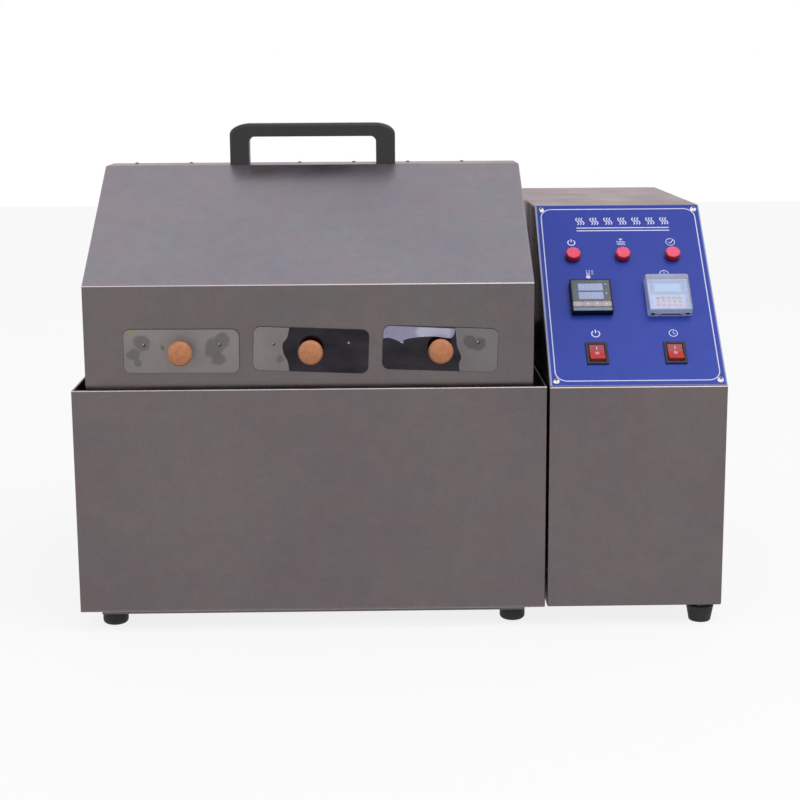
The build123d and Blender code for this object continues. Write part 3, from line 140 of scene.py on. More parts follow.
class Paint:
    """One procedural material: a Principled shader with patterns in object coordinates."""

    def __init__(self, name, colour, roughness, metallic=0.0, **sockets):
        self.material = bpy.data.materials.new(name)
        self.material.use_nodes = True
        self.tree = self.material.node_tree
        self.shader = self.tree.nodes["Principled BSDF"]
        self.colour = colour
        self.normal = None
        self.shader.inputs["Base Color"].default_value = (*colour, 1)
        self.shader.inputs["Roughness"].default_value = roughness
        self.shader.inputs["Metallic"].default_value = metallic
        for socket, value in sockets.items():
            self.shader.inputs[socket.replace("_", " ")].default_value = value
        self.place = self.tree.nodes.new("ShaderNodeTexCoord").outputs["Object"]

    def link(self, source, target):
        self.tree.links.new(source, target)

    def node(self, kind, **settings):
        made = self.tree.nodes.new("ShaderNode" + kind)
        for setting, value in settings.items():
            setattr(made, setting, value)
        return made

    def combine(self, kind, operation, *values, result="Value"):
        """What a maths node makes of its values, each a socket or a constant."""
        made = self.node(kind, operation=operation)
        for target, value in zip(made.inputs, values):
            if isinstance(value, bpy.types.NodeSocket):
                self.link(value, target)
            else:
                target.default_value = value
        return made.outputs[result]

    def noise(self, scale, detail=4, stretch=(1, 1, 1), turn=(0, 0, 0)):
        """Noise value with so many patches per metre, stretched along each axis."""
        mapping = self.node("Mapping")
        mapping.inputs["Scale"].default_value = stretch
        mapping.inputs["Rotation"].default_value = turn
        self.link(self.place, mapping.inputs["Vector"])
        noise = self.node("TexNoise")
        noise.inputs["Scale"].default_value = scale
        noise.inputs["Detail"].default_value = detail
        self.link(mapping.outputs["Vector"], noise.inputs["Vector"])
        return noise.outputs["Fac"]

    def ramp(self, value, *stops):
        """Colour or grey that follows a value through (position, colour) stops."""
        ramp = self.node("ValToRGB")
        ramp.color_ramp.elements[0].position = stops[0][0]
        ramp.color_ramp.elements[0].color = (*stops[0][1], 1)
        ramp.color_ramp.elements[1].position = stops[-1][0]
        ramp.color_ramp.elements[1].color = (*stops[-1][1], 1)
        for position, colour in stops[1:-1]:
            ramp.color_ramp.elements.new(position).color = (*colour, 1)
        self.link(value, ramp.inputs["Fac"])
        return ramp.outputs["Color"]

    def span(self, value, start, end, low=0.0, high=1.0):
        """A value between start and end, brought to between low and high."""
        mapped = self.node("MapRange")
        mapped.inputs["From Min"].default_value = start
        mapped.inputs["From Max"].default_value = end
        mapped.inputs["To Min"].default_value = low
        mapped.inputs["To Max"].default_value = high
        self.link(value, mapped.inputs["Value"])
        return mapped.outputs["Result"]

    def mix_in(self, mix):
        """Passes the base colour so far through a Mix node."""
        socket = self.shader.inputs["Base Color"]
        if socket.is_linked:
            self.link(socket.links[0].from_socket, mix.inputs["A"])
        else:
            mix.inputs["A"].default_value = (*self.colour, 1)
        self.link(mix.outputs["Result"], socket)

    def tint(self, value, low, high, start=0.3, end=0.7):
        """Multiplies the colour so far by a grey or tint that follows the value."""
        mix = self.node("Mix", data_type="RGBA", blend_type="MULTIPLY")
        mix.inputs["Factor"].default_value = 1
        self.link(self.ramp(value, (start, low), (end, high)), mix.inputs["B"])
        self.mix_in(mix)

    def cover(self, mask, colour):
        """Lays a colour over the one so far where the mask is 1."""
        mix = self.node("Mix", data_type="RGBA")
        mix.inputs["B"].default_value = (*colour, 1)
        self.link(mask, mix.inputs["Factor"])
        self.mix_in(mix)

    def rough(self, value, low, high, start=0.3, end=0.7):
        """Roughness that follows the value between two limits."""
        self.link(self.span(value, start, end, low, high), self.shader.inputs["Roughness"])

    def follow(self, value, *stops):
        """Lets the base colour follow a value through (position, colour) stops."""
        self.link(self.ramp(value, *stops), self.shader.inputs["Base Color"])

    def facing(self, direction=(0, 0, 1)):
        """How far the piece's surface faces a direction: 1 towards it, 0 across it."""
        normal = self.node("TexCoord").outputs["Normal"]
        return self.combine("VectorMath", "DOT_PRODUCT", normal, direction)

    def edges(self, reach, colour, most=0.8, upper=False):
        """Lays a painted highlight in a colour over the edges, or only the upper ones, and returns
        their mask.
        """
        bevel = self.node("Bevel", samples=6)
        bevel.inputs["Radius"].default_value = reach
        eased = bevel.outputs["Normal"]
        sharp = self.node("NewGeometry").outputs["Normal"]
        agreement = self.combine("VectorMath", "DOT_PRODUCT", eased, sharp)
        edge_highlight = self.ramp(agreement, (0.8, grey(most)), (0.985, grey(0)))
        # Only edges that face up get the painted highlight, as if lit from above
        if upper:
            split = self.node("SeparateXYZ")
            self.link(eased, split.inputs["Vector"])
            rising = self.ramp(split.outputs["Z"], (0.15, grey(0)), (0.4, grey(1)))
            edge_highlight = self.combine("Math", "MULTIPLY", rising, edge_highlight)
        self.cover(edge_highlight, colour)
        return edge_highlight

    def bump(self, value, depth, strength=1.0):
        """Relief of so many metres, laid over the relief so far."""
        bump = self.node("Bump")
        bump.inputs["Distance"].default_value = depth
        bump.inputs["Strength"].default_value = strength
        self.link(value, bump.inputs["Height"])
        if self.normal is not None:
            self.link(self.normal, bump.inputs["Normal"])
        self.normal = bump.outputs["Normal"]
        self.link(self.normal, self.shader.inputs["Normal"])


def grey(level):
    """Linear grey of a level."""
    return (level, level, level)


def sheet_steel(name, upright, sloped, level, hairlines=(1, 1, 140), bright=1.0):
    """Satin stainless sheet with painted reflection: darker where it stands upright, as if it mirrored
    the ground, and lighter where it slopes and lies level.

    It has a fine speckle, faint hairlines, soft clouds and a slight waviness. How strong the painted
    highlights along its edges are, the upper ones most, is set by bright, and above a half its folds
    get a painted highlight too.
    """
    # Painted highlight colour for the bends between upright and sloped faces
    fold_highlight = srgb(226, 212, 218) if bright > 0.5 else upright
    paint = Paint(name, upright, 0.36, 0.88, Anisotropic=0.25)
    paint.shader.inputs["Specular Tint"].default_value = (*sheet_graze, 1)
    # Painted reflection: the colour follows how far each face looks up
    paint.follow(
        paint.facing(), (0.12, upright), (0.24, fold_highlight), (0.44, fold_highlight), (0.58, sloped),
        (0.86, sloped), (0.97, level),
    )
    lines = paint.noise(9, 6, hairlines)
    paint.tint(lines, grey(0.975), grey(1.02))
    paint.tint(paint.noise(5.5, 3), (0.93, 0.92, 0.94), (1.06, 1.04, 1.0))
    paint.tint(paint.noise(24, 4), (0.975, 1.012, 1.01), (1.03, 0.986, 0.99), 0.38, 0.62)
    paint.tint(paint.noise(60, 4), (0.975, 0.97, 0.97), (1.02, 1.02, 1.025), 0.35, 0.65)
    paint.tint(paint.noise(420, 2), grey(0.965), grey(1.03), 0.36, 0.64)
    paint.rough(paint.noise(13, 6), 0.23, 0.34)
    # Painted highlights along the edges, with brighter ones along the upper edges
    paint.edges(0.0011, srgb(206, 198, 202), 0.8 * bright)
    paint.edges(0.0026, srgb(255, 246, 246), bright, upper=True)
    paint.bump(lines, 0.00003, 0.35)
    paint.bump(paint.noise(2.6, 2), 0.0012, 0.18)
    return paint.material


def moulding(name, colour, roughness, grain=900, depth=0.00004, spread=0.05):
    """Moulded plastic or rubber with a fine grain and slightly uneven colour."""
    paint = Paint(name, colour, roughness)
    paint.tint(paint.noise(45, 4), grey(1 - spread), grey(1 + spread))
    paint.rough(paint.noise(120, 4), roughness - 0.05, roughness + 0.07)
    paint.bump(paint.noise(grain, 3), depth, 0.5)
    return paint.material


def edged_moulding(name, colour, edge_highlight_colour):
    """Moulded plastic with a painted highlight along its fine edges."""
    paint = Paint(name, colour, 0.4, Specular_IOR_Level=0.3)
    paint.tint(paint.noise(45, 4), grey(0.95), grey(1.05))
    # Painted highlight along the fine edges
    paint.edges(0.0003, edge_highlight_colour, 0.8)
    paint.rough(paint.noise(120, 4), 0.34, 0.46)
    paint.bump(paint.noise(900, 3), 0.00003, 0.5)
    return paint.material


def speckled_knob(name):
    """Mottled tan moulding with dark and pale specks, and a painted highlight along its edges."""
    paint = Paint(name, srgb(206, 138, 96), 0.42)
    paint.tint(paint.noise(160, 5), (0.88, 0.85, 0.82), (1.06, 1.05, 1.04), 0.35, 0.68)
    specks = paint.ramp(paint.noise(620, 2), (0.62, grey(0)), (0.7, grey(0.55)))
    paint.cover(specks, srgb(132, 76, 44))
    pale = paint.ramp(paint.noise(480, 2, turn=(0.7, 0.3, 1.1)), (0.66, grey(0)), (0.73, grey(0.5)))
    paint.cover(pale, srgb(236, 186, 150))
    # Painted highlight along the knob's edges
    paint.edges(0.0016, srgb(232, 186, 152), 0.45)
    paint.rough(paint.noise(300, 3), 0.36, 0.52)
    paint.bump(paint.noise(700, 3), 0.00003, 0.4)
    return paint.material


def panel_print(name):
    """Satin blue print, deeper towards the top of the slope, on a plate with bare cut edges that carry
    a painted highlight.
    """
    paint = Paint(name, srgb(42, 64, 170), 0.36, Specular_IOR_Level=0.25)
    low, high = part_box("panel_plate")
    split = paint.node("SeparateXYZ")
    paint.link(paint.place, split.inputs["Vector"])
    rise = paint.span(split.outputs["Z"], low[2], high[2])
    paint.tint(rise, (1.0, 1.02, 1.02), (0.92, 0.9, 0.9), 0.1, 0.95)
    paint.tint(paint.noise(26, 4), grey(0.97), grey(1.03))
    side = paint.span(split.outputs["X"], low[0], high[0])
    margins = paint.ramp(
        side, (0.008, grey(0.8)), (0.011, grey(0)), (0.9915, grey(0)), (0.9945, grey(0.8))
    )
    paint.cover(margins, srgb(168, 184, 222))
    bare = paint.ramp(paint.facing(panel_normal), (0.5, grey(1)), (0.7, grey(0)))
    paint.cover(bare, srgb(176, 186, 206))
    # Painted highlight along the plate's edges
    paint.edges(0.0009, srgb(196, 200, 236), 0.9)
    paint.rough(paint.noise(60, 4), 0.3, 0.4)
    paint.bump(paint.noise(1500, 2), 0.00002, 0.4)
    return paint.material


def mirror_painted_dark(name):
    """Polished stainless painted dark, a painted reflection of dark surroundings, with a few wipe
    marks.
    """
    # The dark base colour is a painted reflection of dark surroundings
    paint = Paint(name, srgb(50, 47, 52), 0.06, 1.0)
    paint.tint(paint.noise(26, 4, (1, 1, 2.2)), grey(0.66), grey(1.25))
    wipes = paint.noise(38, 5, (1, 1, 4), (0, 0.5, 0))
    paint.rough(wipes, 0.04, 0.17, 0.4, 0.75)
    paint.bump(paint.noise(7, 2), 0.0006, 0.12)
    return paint.material


def film(name, colour, blotches=()):
    """Cloudy protective film with ragged blotches of other colours and a painted highlight along its
    edges.
    """
    paint = Paint(name, colour, 0.36, 0.3, Specular_IOR_Level=0.5)
    paint.tint(paint.noise(17, 5), (0.9, 0.9, 0.91), (1.08, 1.07, 1.06))
    paint.tint(paint.noise(240, 3), grey(0.965), grey(1.03))
    wander = paint.node("TexNoise")
    wander.inputs["Scale"].default_value = 75
    wander.inputs["Detail"].default_value = 4
    paint.link(paint.place, wander.inputs["Vector"])
    centred = paint.combine(
        "VectorMath", "SUBTRACT", wander.outputs["Color"], grey(0.5), result="Vector"
    )
    ragged = paint.combine("VectorMath", "MULTIPLY", centred, grey(0.011), result="Vector")
    ragged_place = paint.combine("VectorMath", "ADD", paint.place, ragged, result="Vector")
    for centre, radius, shade in blotches:
        away = paint.combine("VectorMath", "DISTANCE", ragged_place, centre)
        near = paint.combine("Math", "DIVIDE", away, 1.25 * radius)
        paint.cover(paint.ramp(near, (0.66, grey(0.85)), (0.95, grey(0))), shade)
    # Painted highlight along the film's edges
    paint.edges(0.0007, srgb(168, 164, 164), 0.7)
    paint.rough(paint.noise(45, 5), 0.24, 0.46)
    paint.bump(paint.noise(90, 4), 0.0001, 0.4)
    return paint.material


def bright_metal(name, colour, roughness=0.24):
    """Plated or machined metal with fine turning marks."""
    paint = Paint(name, colour, roughness, 1.0)
    paint.tint(paint.noise(150, 4), grey(0.88), grey(1.06))
    paint.rough(paint.noise(420, 4), roughness - 0.06, roughness + 0.1)
    paint.bump(paint.noise(1300, 3), 0.00002, 0.5)
    return paint.material


def wool(name):
    """Fibrous insulation."""
    paint = Paint(name, srgb(214, 205, 176), 0.95, Sheen_Weight=0.2)
    fibres = paint.noise(160, 6, (1, 1, 3))
    paint.tint(fibres, grey(0.78), grey(1.08))
    paint.bump(fibres, 0.0012, 0.9)
    return paint.material


def clear_moulding(name):
    """Clear cover, cloudy lavender in its walls, and cloudy with a near-white painted highlight along
    its edges.
    """
    paint = Paint(name, srgb(250, 251, 255), 0.05, IOR=1.46)
    paint.tint(paint.noise(60, 3), grey(0.98), grey(1.0))
    paint.rough(paint.noise(90, 4), 0.03, 0.08)
    flat = paint.combine("Math", "ABSOLUTE", paint.facing(panel_normal))
    wall = paint.ramp(flat, (0.45, grey(0.45)), (0.9, grey(0)))
    paint.cover(wall, srgb(196, 212, 255))
    # Painted highlight along the edges, which are made cloudy too
    edge = paint.edges(0.0009, srgb(248, 248, 255), 1)
    cloudy = paint.combine("Math", "MAXIMUM", wall, edge)
    clear = paint.ramp(cloudy, (0, grey(0.95)), (0.8, grey(0.1)))
    paint.link(clear, paint.shader.inputs["Transmission Weight"])
    paint.bump(paint.noise(200, 3), 0.00002, 0.3)
    return paint.material


def printed(name, colour, roughness=0.5):
    """Ink or label stock with slightly uneven cover."""
    paint = Paint(name, colour, roughness)
    paint.tint(paint.noise(320, 4), grey(0.93), grey(1.03))
    paint.bump(paint.noise(2200, 2), 0.00001, 0.4)
    return paint.material


def window(name, colour, roughness=0.12):
    """Smooth display window with slightly uneven colour."""
    paint = Paint(name, colour, roughness, Coat_Weight=0.4, Coat_Roughness=0.08)
    paint.tint(paint.noise(70, 3), grey(0.88), grey(1.08))
    paint.rough(paint.noise(140, 3), roughness - 0.04, roughness + 0.08)
    return paint.material


def red_plastic(name, colour, direction, *stops):
    """Translucent red moulding with painted light: its colour follows how far a face looks in a
    direction.
    """
    paint = Paint(
        name, colour, 0.24, Subsurface_Weight=0.12, Subsurface_Scale=0.002, Specular_IOR_Level=0.4
    )
    paint.shader.inputs["Subsurface Radius"].default_value = (1.0, 0.25, 0.15)
    paint.follow(paint.facing(direction), *stops)
    paint.tint(paint.noise(180, 3), (0.96, 0.94, 0.94), (1.03, 1.03, 1.03))
    paint.rough(paint.noise(260, 3), 0.2, 0.3)
    paint.bump(paint.noise(400, 2), 0.000008, 0.3)
    return paint.material


# Every material by the name that the nodes and pieces ask for
materials = {
    # Each sheet steel gets upright, sloped and level colours, whose differences are painted reflection
    "sheet": sheet_steel("sheet_steel", srgb(111, 104, 106), srgb(141, 137, 146), srgb(142, 136, 140)),
    "hood": sheet_steel("hood_steel", srgb(110, 104, 105), srgb(140, 138, 147), srgb(143, 137, 141)),
    "inner": sheet_steel(
        "inner_steel", srgb(138, 134, 132), srgb(156, 152, 152), srgb(168, 164, 162), (140, 1, 1)
    ),
    "pan": sheet_steel(
        "pan_steel", srgb(104, 98, 99), srgb(104, 98, 99), srgb(126, 118, 120), bright=0.15
    ),
    "mirror": mirror_painted_dark("polished_steel"),
    "knob": speckled_knob("speckled_knob"),
    "handle": moulding("handle_black", srgb(30, 29, 29), 0.46, 650, 0.00008),
    "rubber": moulding("foot_rubber", srgb(27, 26, 26), 0.62, 500, 0.0001, 0.1),
    "black": moulding("black_moulding", srgb(22, 22, 28), 0.4),
    "case": edged_moulding("controller_moulding", srgb(8, 10, 18), srgb(48, 66, 74)),
    "bezel": edged_moulding("switch_bezel", srgb(34, 32, 46), srgb(98, 92, 106)),
    "panel": panel_print("panel_blue"),
    "plated": bright_metal("plated_steel", srgb(232, 228, 232)),
    "blind_rivet": bright_metal("hood_rivet_heads", srgb(104, 90, 92), 0.3),
    "brass": bright_metal("valve_brass", srgb(196, 164, 102)),
    "lever": moulding("lever_coating", srgb(168, 32, 28), 0.35, 300, 0.00006),
    "wool": wool("mineral_wool"),
    "window": window("controller_window", srgb(18, 42, 64)),
    "keys": moulding("controller_keys", srgb(182, 164, 170), 0.45),
    "timer": moulding("timer_moulding", srgb(172, 194, 244), 0.4),
    "buttons": moulding("timer_buttons", srgb(216, 206, 220), 0.45),
    "clear": clear_moulding("clear_cover"),
    # Lens with a painted highlight: palest pink where it faces out of the panel, deeper red down its
    # sides
    "lens": red_plastic(
        "red_lens", srgb(196, 26, 48), panel_normal,
        (0.35, srgb(178, 18, 42)), (0.8, srgb(216, 42, 70)), (0.93, srgb(240, 80, 116)),
    ),
    # Rocker with a painted reflection: pinkish on its flatter pressed upper half, red on its raised
    # lower half
    "rocker": red_plastic(
        "red_rocker", srgb(204, 36, 28), up_slope,
        (0.1, srgb(168, 62, 72)), (0.24, srgb(202, 28, 18)), (0.6, srgb(190, 22, 16)),
    ),
    "white": moulding("float_white", srgb(222, 220, 214), 0.5),
    "ink": printed("panel_ink", srgb(218, 222, 252)),
    "display": window("display_glass", srgb(144, 159, 203), 0.3),
    "display_digit": printed("display_digits", srgb(176, 188, 224)),
    "display_dim": printed("display_lamps", srgb(98, 114, 132)),
    "teal": window("teal_strip", srgb(84, 122, 156), 0.25),
    "timer_window": window("timer_window", srgb(138, 170, 216), 0.3),
    "lcd": window("timer_lcd", srgb(152, 196, 240), 0.3),
    "lcd_digit": printed("timer_lcd_digits", srgb(192, 224, 252)),
    "label": printed("timer_label", srgb(204, 210, 246)),
    "wheel": printed("timer_wheels", srgb(206, 196, 214)),
    "wheel_digit": printed("timer_digits", srgb(128, 104, 142)),
    "rivet": bright_metal("rivet_heads", srgb(150, 152, 156), 0.2),
    # Near-black for painted shade: in the screw recesses, behind the hinge slot and under the drawer
    # rivets
    "recess": printed("painted_recess_shade", srgb(20, 20, 22), 0.6),
}


def on_drawer(number, along, up):
    """Point of a drawer's front plate, in millimetres from its middle."""
    low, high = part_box(f"drawer_front_{number}")
    return (
        (low[0] + high[0]) / 2 + along * MM, low[1], (low[2] + high[2]) / 2 + up * MM
    )


# Films of the drawer plates, each blotch with its middle, its radius in metres and its colour
blotch = srgb(106, 102, 101)
dark_blotch = srgb(88, 85, 86)
materials["film_1"] = film("film_1", srgb(140, 134, 133), (
    (on_drawer(1, -44, 10), 0.0095, blotch),
    (on_drawer(1, -54, -4), 0.0065, blotch),
    (on_drawer(1, -50, -13), 0.005, blotch),
    (on_drawer(1, 46, 12), 0.008, blotch),
    (on_drawer(1, 36, 3), 0.0105, blotch),
    (on_drawer(1, 42, -9), 0.0075, blotch),
    (on_drawer(1, -21, 4), 0.003, blotch),
    (on_drawer(1, -57, 22), 0.003, srgb(150, 143, 96)),
))
materials["film_2"] = film("film_2", srgb(137, 131, 129), (
    (on_drawer(2, -36, -10), 0.004, blotch),
))
materials["film_3"] = film("film_3", srgb(122, 117, 119), (
    (on_drawer(3, 33, 8), 0.007, dark_blotch),
    (on_drawer(3, 44, 6), 0.007, dark_blotch),
))
materials["film_strip"] = film("film_strip", srgb(152, 150, 178), (
    (on_drawer(3, -14, 19), 0.012, srgb(196, 196, 222)),
    (on_drawer(3, 4, 20), 0.009, srgb(190, 192, 226)),
))

# Materials of the CAD nodes
node_paints = {
    "sheet": ("tank_casing", "tank_back_panel", "control_housing", "control_back_panel"),
    "pan": ("tank_base_pan",),
    "hood": ("hood_shell", "hood_back_panel"),
    "inner": ("inner_tank", "drawer_guides", "drawer_tray_1", "drawer_tray_2", "drawer_tray_3",
              "heater_element", "temperature_probe"),
    "mirror": ("drawer_front_1", "drawer_front_2", "drawer_front_3"),
    "knob": ("drawer_knob_1", "drawer_knob_2", "drawer_knob_3"),
    "handle": ("hood_handle",),
    "rubber": ("tank_feet", "control_feet", "lid_seal"),
    "black": ("indicator_bodies", "cable_gland", "solid_state_relay"),
    "case": ("controller_case",),
    "bezel": ("switch_bodies",),
    "panel": ("panel_plate",),
    "plated": ("hex_fasteners", "panel_screws", "back_panel_screws"),
    "blind_rivet": ("hood_rivets",),
    "brass": ("drain_valve",),
    "lever": ("drain_lever",),
    "wool": ("tank_insulation",),
    "window": ("controller_face",),
    "keys": tuple(f"controller_key_{number}" for number in range(1, 5)),
    "timer": ("timer_case",),
    "buttons": tuple(f"timer_{row}_{number}" for row in ("plus", "minus") for number in range(1, 6)),
    "clear": ("timer_cover_frame", "timer_cover_lid"),
    "lens": ("indicator_lenses",),
    "rocker": ("rocker_1", "rocker_2"),
    "white": ("level_float", "level_switch"),
}
for paint_name, painted in node_paints.items():
    for node_name in painted:
        slots = nodes[node_name].data.materials
        slots.clear()
        slots.append(materials[paint_name])


class Place:
    """A plane to draw on, in millimetres from its origin: its right, its up and its outside."""

    def __init__(self, origin, right, up):
        self.origin = Vector(origin)
        self.right = Vector(right).normalized()
        self.up = Vector(up).normalized()
        self.out = self.right.cross(self.up)

    def point(self, across, up, out=0.0):
        """Point in metres that lies so many millimetres across, up and out."""
        return self.origin + (self.right * across + self.up * up + self.out * out) * MM

    def moved(self, across=0.0, up=0.0, out=0.0, turn=0.0):
        """This place moved by millimetres, then turned anticlockwise by degrees."""
        angle = math.radians(turn)
        right = self.right * math.cos(angle) + self.up * math.sin(angle)
        return Place(self.point(across, up, out), right, self.out.cross(right))


def plates(name, outlines, place, thickness, paint_name, body):
    """One piece of thin closed plates, each extruded outwards from the place by a thickness."""
    points, faces = [], []
    for outline in outlines:
        start, count = len(points), len(outline)
        points += [place.point(x, y) for x, y in outline]
        points += [place.point(x, y, thickness) for x, y in outline]
        faces.append([start + index for index in reversed(range(count))])
        faces.append([start + count + index for index in range(count)])
        for index in range(count):
            following = (index + 1) % count
            faces.append([
                start + index, start + following, start + count + following, start + count + index
            ])
    mesh = bpy.data.meshes.new(name)
    mesh.from_pydata(points, [], faces)
    mesh.materials.append(materials[paint_name])
    piece = bpy.data.objects.new(name, mesh)
    bpy.context.scene.collection.objects.link(piece)
    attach(piece, body)


def arc(centre, radius, start, end, steps=10):
    """Points of an arc between two angles in degrees, counted anticlockwise."""
    return [
        (
            centre[0] + radius * math.cos(math.radians(start + (end - start) * index / steps)),
            centre[1] + radius * math.sin(math.radians(start + (end - start) * index / steps)),
        )
        for index in range(steps + 1)
    ]


def rounded(width, height, corner, centre=(0, 0), steps=8):
    """Outline of a rounded rectangle."""
    x, y = width / 2 - corner, height / 2 - corner
    outline = []
    for quarter, (side_x, side_y) in enumerate(((1, 1), (-1, 1), (-1, -1), (1, -1))):
        middle = (centre[0] + side_x * x, centre[1] + side_y * y)
        outline += arc(middle, corner, 90 * quarter, 90 * quarter + 90, steps)
    return outline


def rectangle(width, height, centre=(0, 0)):
    """Outline of a rectangle."""
    return [
        (centre[0] + side * width / 2, centre[1] + rise * height / 2)
        for side, rise in ((1, 1), (-1, 1), (-1, -1), (1, -1))
    ]


def stroke(points, width):
    """Outline of a line of even width through the points."""
    left, right = [], []
    for index, (x, y) in enumerate(points):
        before = points[max(index - 1, 0)]
        after = points[min(index + 1, len(points) - 1)]
        run = math.hypot(after[0] - before[0], after[1] - before[1])
        side_x = -(after[1] - before[1]) / run * width / 2
        side_y = (after[0] - before[0]) / run * width / 2
        left.append((x + side_x, y + side_y))
        right.append((x - side_x, y - side_y))
    return right + left[::-1]


def disc(centre, radius, steps=20):
    """Outline of a full circle."""
    return arc(centre, radius, 0, 360, steps)[:-1]


def circle_line(centre, radius, width, start=0, end=360):
    """Outline of a line of even width along a circle, or a part of one."""
    return stroke(arc(centre, radius, start, end, 28), width)


def bars_between(stops, height, middle):
    """Bars at one height, each from a stop to the next, with a gap before the one after."""
    return [
        rectangle(right - left, height, ((left + right) / 2, middle))
        for left, right in zip(stops[0::2], stops[1::2])
    ]


panel = Place(
    across * plate_left + up_slope * plate_foot + panel_normal * plate_face, across, up_slope
)
panel_width = (plate_right - plate_left) / MM
panel_length = (plate_head - plate_foot) / MM


def span_on_panel(node):
    """Left, right, foot and head of a node, in millimetres on the panel plate."""
    points = [vertex.co - panel.origin for vertex in nodes[node].data.vertices]
    sides = [point.dot(across) / MM for point in points]
    rises = [point.dot(up_slope) / MM for point in points]
    return min(sides), max(sides), min(rises), max(rises)


def centre_on_panel(node):
    """Across and up of a node's middle, in millimetres on the panel plate."""
    left, right, foot, head = span_on_panel(node)
    return (left + right) / 2, (foot + head) / 2


def height_on_panel(node):
    """How far a node stands out of the panel plate, in millimetres."""
    points = [vertex.co - panel.origin for vertex in nodes[node].data.vertices]
    return max(point.dot(panel_normal) for point in points) / MM


def print_on_panel(name, outlines, centre=(0, 0)):
    """Ink on the panel plate, drawn about a centre."""
    plates(name, outlines, panel.moved(*centre), print_thickness, "ink", "tank_and_controls")


# Border line of the print: a closed ring in four straight runs and four corners
ring = rounded(
    panel_width - 2 * border_inset, panel_length - 2 * border_inset, border_corner,
    (panel_width / 2, panel_length / 2),
)
print_on_panel("panel_border", [stroke(ring + ring[:1], border_width)])

# Panel heading: a row of rising steam marks over a plain double rule
steam_height, steam_swing, steam_line = 11, 1.6, 1.3
steam_pitch, steam_gap = 17, 3.2
rule_length, rule_width, rule_offset = 112, 1.5, 2.2


def steam_mark(x):
    """One wavy line that rises."""
    wave = [
        (x + steam_swing * math.sin(2 * math.pi * step / 12), steam_height * (step / 12 - 0.5))
        for step in range(13)
    ]
    return stroke(wave, steam_line)


heading_middle = panel_width / 2 + heading_shift
heading = [
    steam_mark(steam_pitch * column + offset)
    for column in range(-3, 4)
    for offset in (-steam_gap, 0, steam_gap)
]
print_on_panel("panel_heading", heading, (heading_middle, heading_up))
rules = [rectangle(rule_length, rule_width, (0, side * rule_offset)) for side in (1, -1)]
print_on_panel("panel_heading_rules", rules, (heading_middle, rules_up))


# Pictograms, each about its middle and as large as its size says
def power_mark(size):
    """Broken ring with a bar in its gap."""
    line = 0.2 * size + 0.5
    return [
        circle_line((0, 0), size, line, 125, 415), rectangle(line, 1.1 * size, (0, 0.75 * size))
    ]


def water_mark(size):
    """Two waves under an arrow that points down."""
    marks = []
    for row in (-0.6, 0.1):
        wave = [
            (size * (step / 8 - 1), size * (row + 0.22 * math.sin(math.pi * step / 2.67)))
            for step in range(17)
        ]
        marks.append(stroke(wave, 0.9))
    arrow = [(0, 0.5 * size), (0.5 * size, 1.15 * size), (-0.5 * size, 1.15 * size)]
    return marks + [arrow]


def tick_mark(size):
    """Tick in a ring."""
    tick = [(-0.6 * size, 0.05 * size), (-0.1 * size, -0.5 * size), (0.8 * size, 0.7 * size)]
    return [stroke(tick, 1.0), circle_line((0, 0), 1.25 * size, 0.8)]


def thermometer_mark(size):
    """Thermometer with a scale on its right."""
    half, foot = 0.28 * size, -0.3 * size
    stem = stroke([(-half, foot), (-half, size), (half, size), (half, foot)], 0.6)
    filling = rectangle(0.18 * size, 0.9 * size, (0, -0.05 * size))
    scale = [rectangle(0.5 * size, 0.5, (0.85 * size, 0.3 * size * step)) for step in range(4)]
    return [disc((0, -0.7 * size), 0.45 * size), stem, filling] + scale


def clock_mark(size):
    """Ring with two hands."""
    hands = stroke([(0, 0.65 * size), (0, 0), (0.5 * size, -0.3 * size)], 0.8)
    return [circle_line((0, 0), size, 0.9), hands]


controller_x, controller_y = centre_on_panel("controller_case")
timer_x, timer_y = centre_on_panel("timer_case")
controller_mark_x = centre_on_panel("controller_face")[0]
for name, outlines, x, y in (
    ("lamp_mark_power", power_mark(4.2), lamp_mark_xs[0], lamp_mark_up),
    ("lamp_mark_water", water_mark(5), lamp_mark_xs[1], lamp_mark_up),
    ("lamp_mark_finished", tick_mark(4.2), lamp_mark_xs[2], lamp_mark_up),
    ("controller_mark", thermometer_mark(6), controller_mark_x, instrument_mark_up),
    ("timer_mark", clock_mark(5), timer_x, instrument_mark_up),
    ("switch_mark_power", power_mark(4.6), switch_mark_xs[0], switch_mark_up),
    ("switch_mark_timer", clock_mark(4.8), switch_mark_xs[1], switch_mark_up),
):
    print_on_panel(name, outlines, (x, y))

# Painted shade in the cross recesses of the four panel screws: dark plates, each at its own angle, with
# a dark hub at the crossing. The hub stands over the crossbar and the crossbar over the bar, so that no
# two tops coincide.
screw_turns = (20, 64, 41, 8)
recess_reach, recess_width = 2.2, 0.75
hub_radius = 1.25
screw_points = [
    (x, y)
    for x in (screw_inset, panel_width - screw_inset)
    for y in (screw_inset, panel_length - screw_inset)
]
recess_bars, recess_crossbars = [], []
for (x, y), turn in zip(screw_points, screw_turns):
    for outlines, angle in ((recess_bars, turn), (recess_crossbars, turn + 90)):
        reach_x = recess_reach * math.cos(math.radians(angle))
        reach_y = recess_reach * math.sin(math.radians(angle))
        ends = [(x - reach_x, y - reach_y), (x + reach_x, y + reach_y)]
        outlines.append(stroke(ends, recess_width))
screw_place = panel.moved(out=height_on_panel("panel_screws"))
for name, outlines, thickness in (
    ("panel_screw_recesses", recess_bars, 0.03),
    ("panel_screw_cross_recesses", recess_crossbars, 0.04),
    ("panel_screw_hubs", [disc(point, hub_radius, 16) for point in screw_points], 0.05),
):
    plates(name, outlines, screw_place, thickness, "recess", "tank_and_controls")


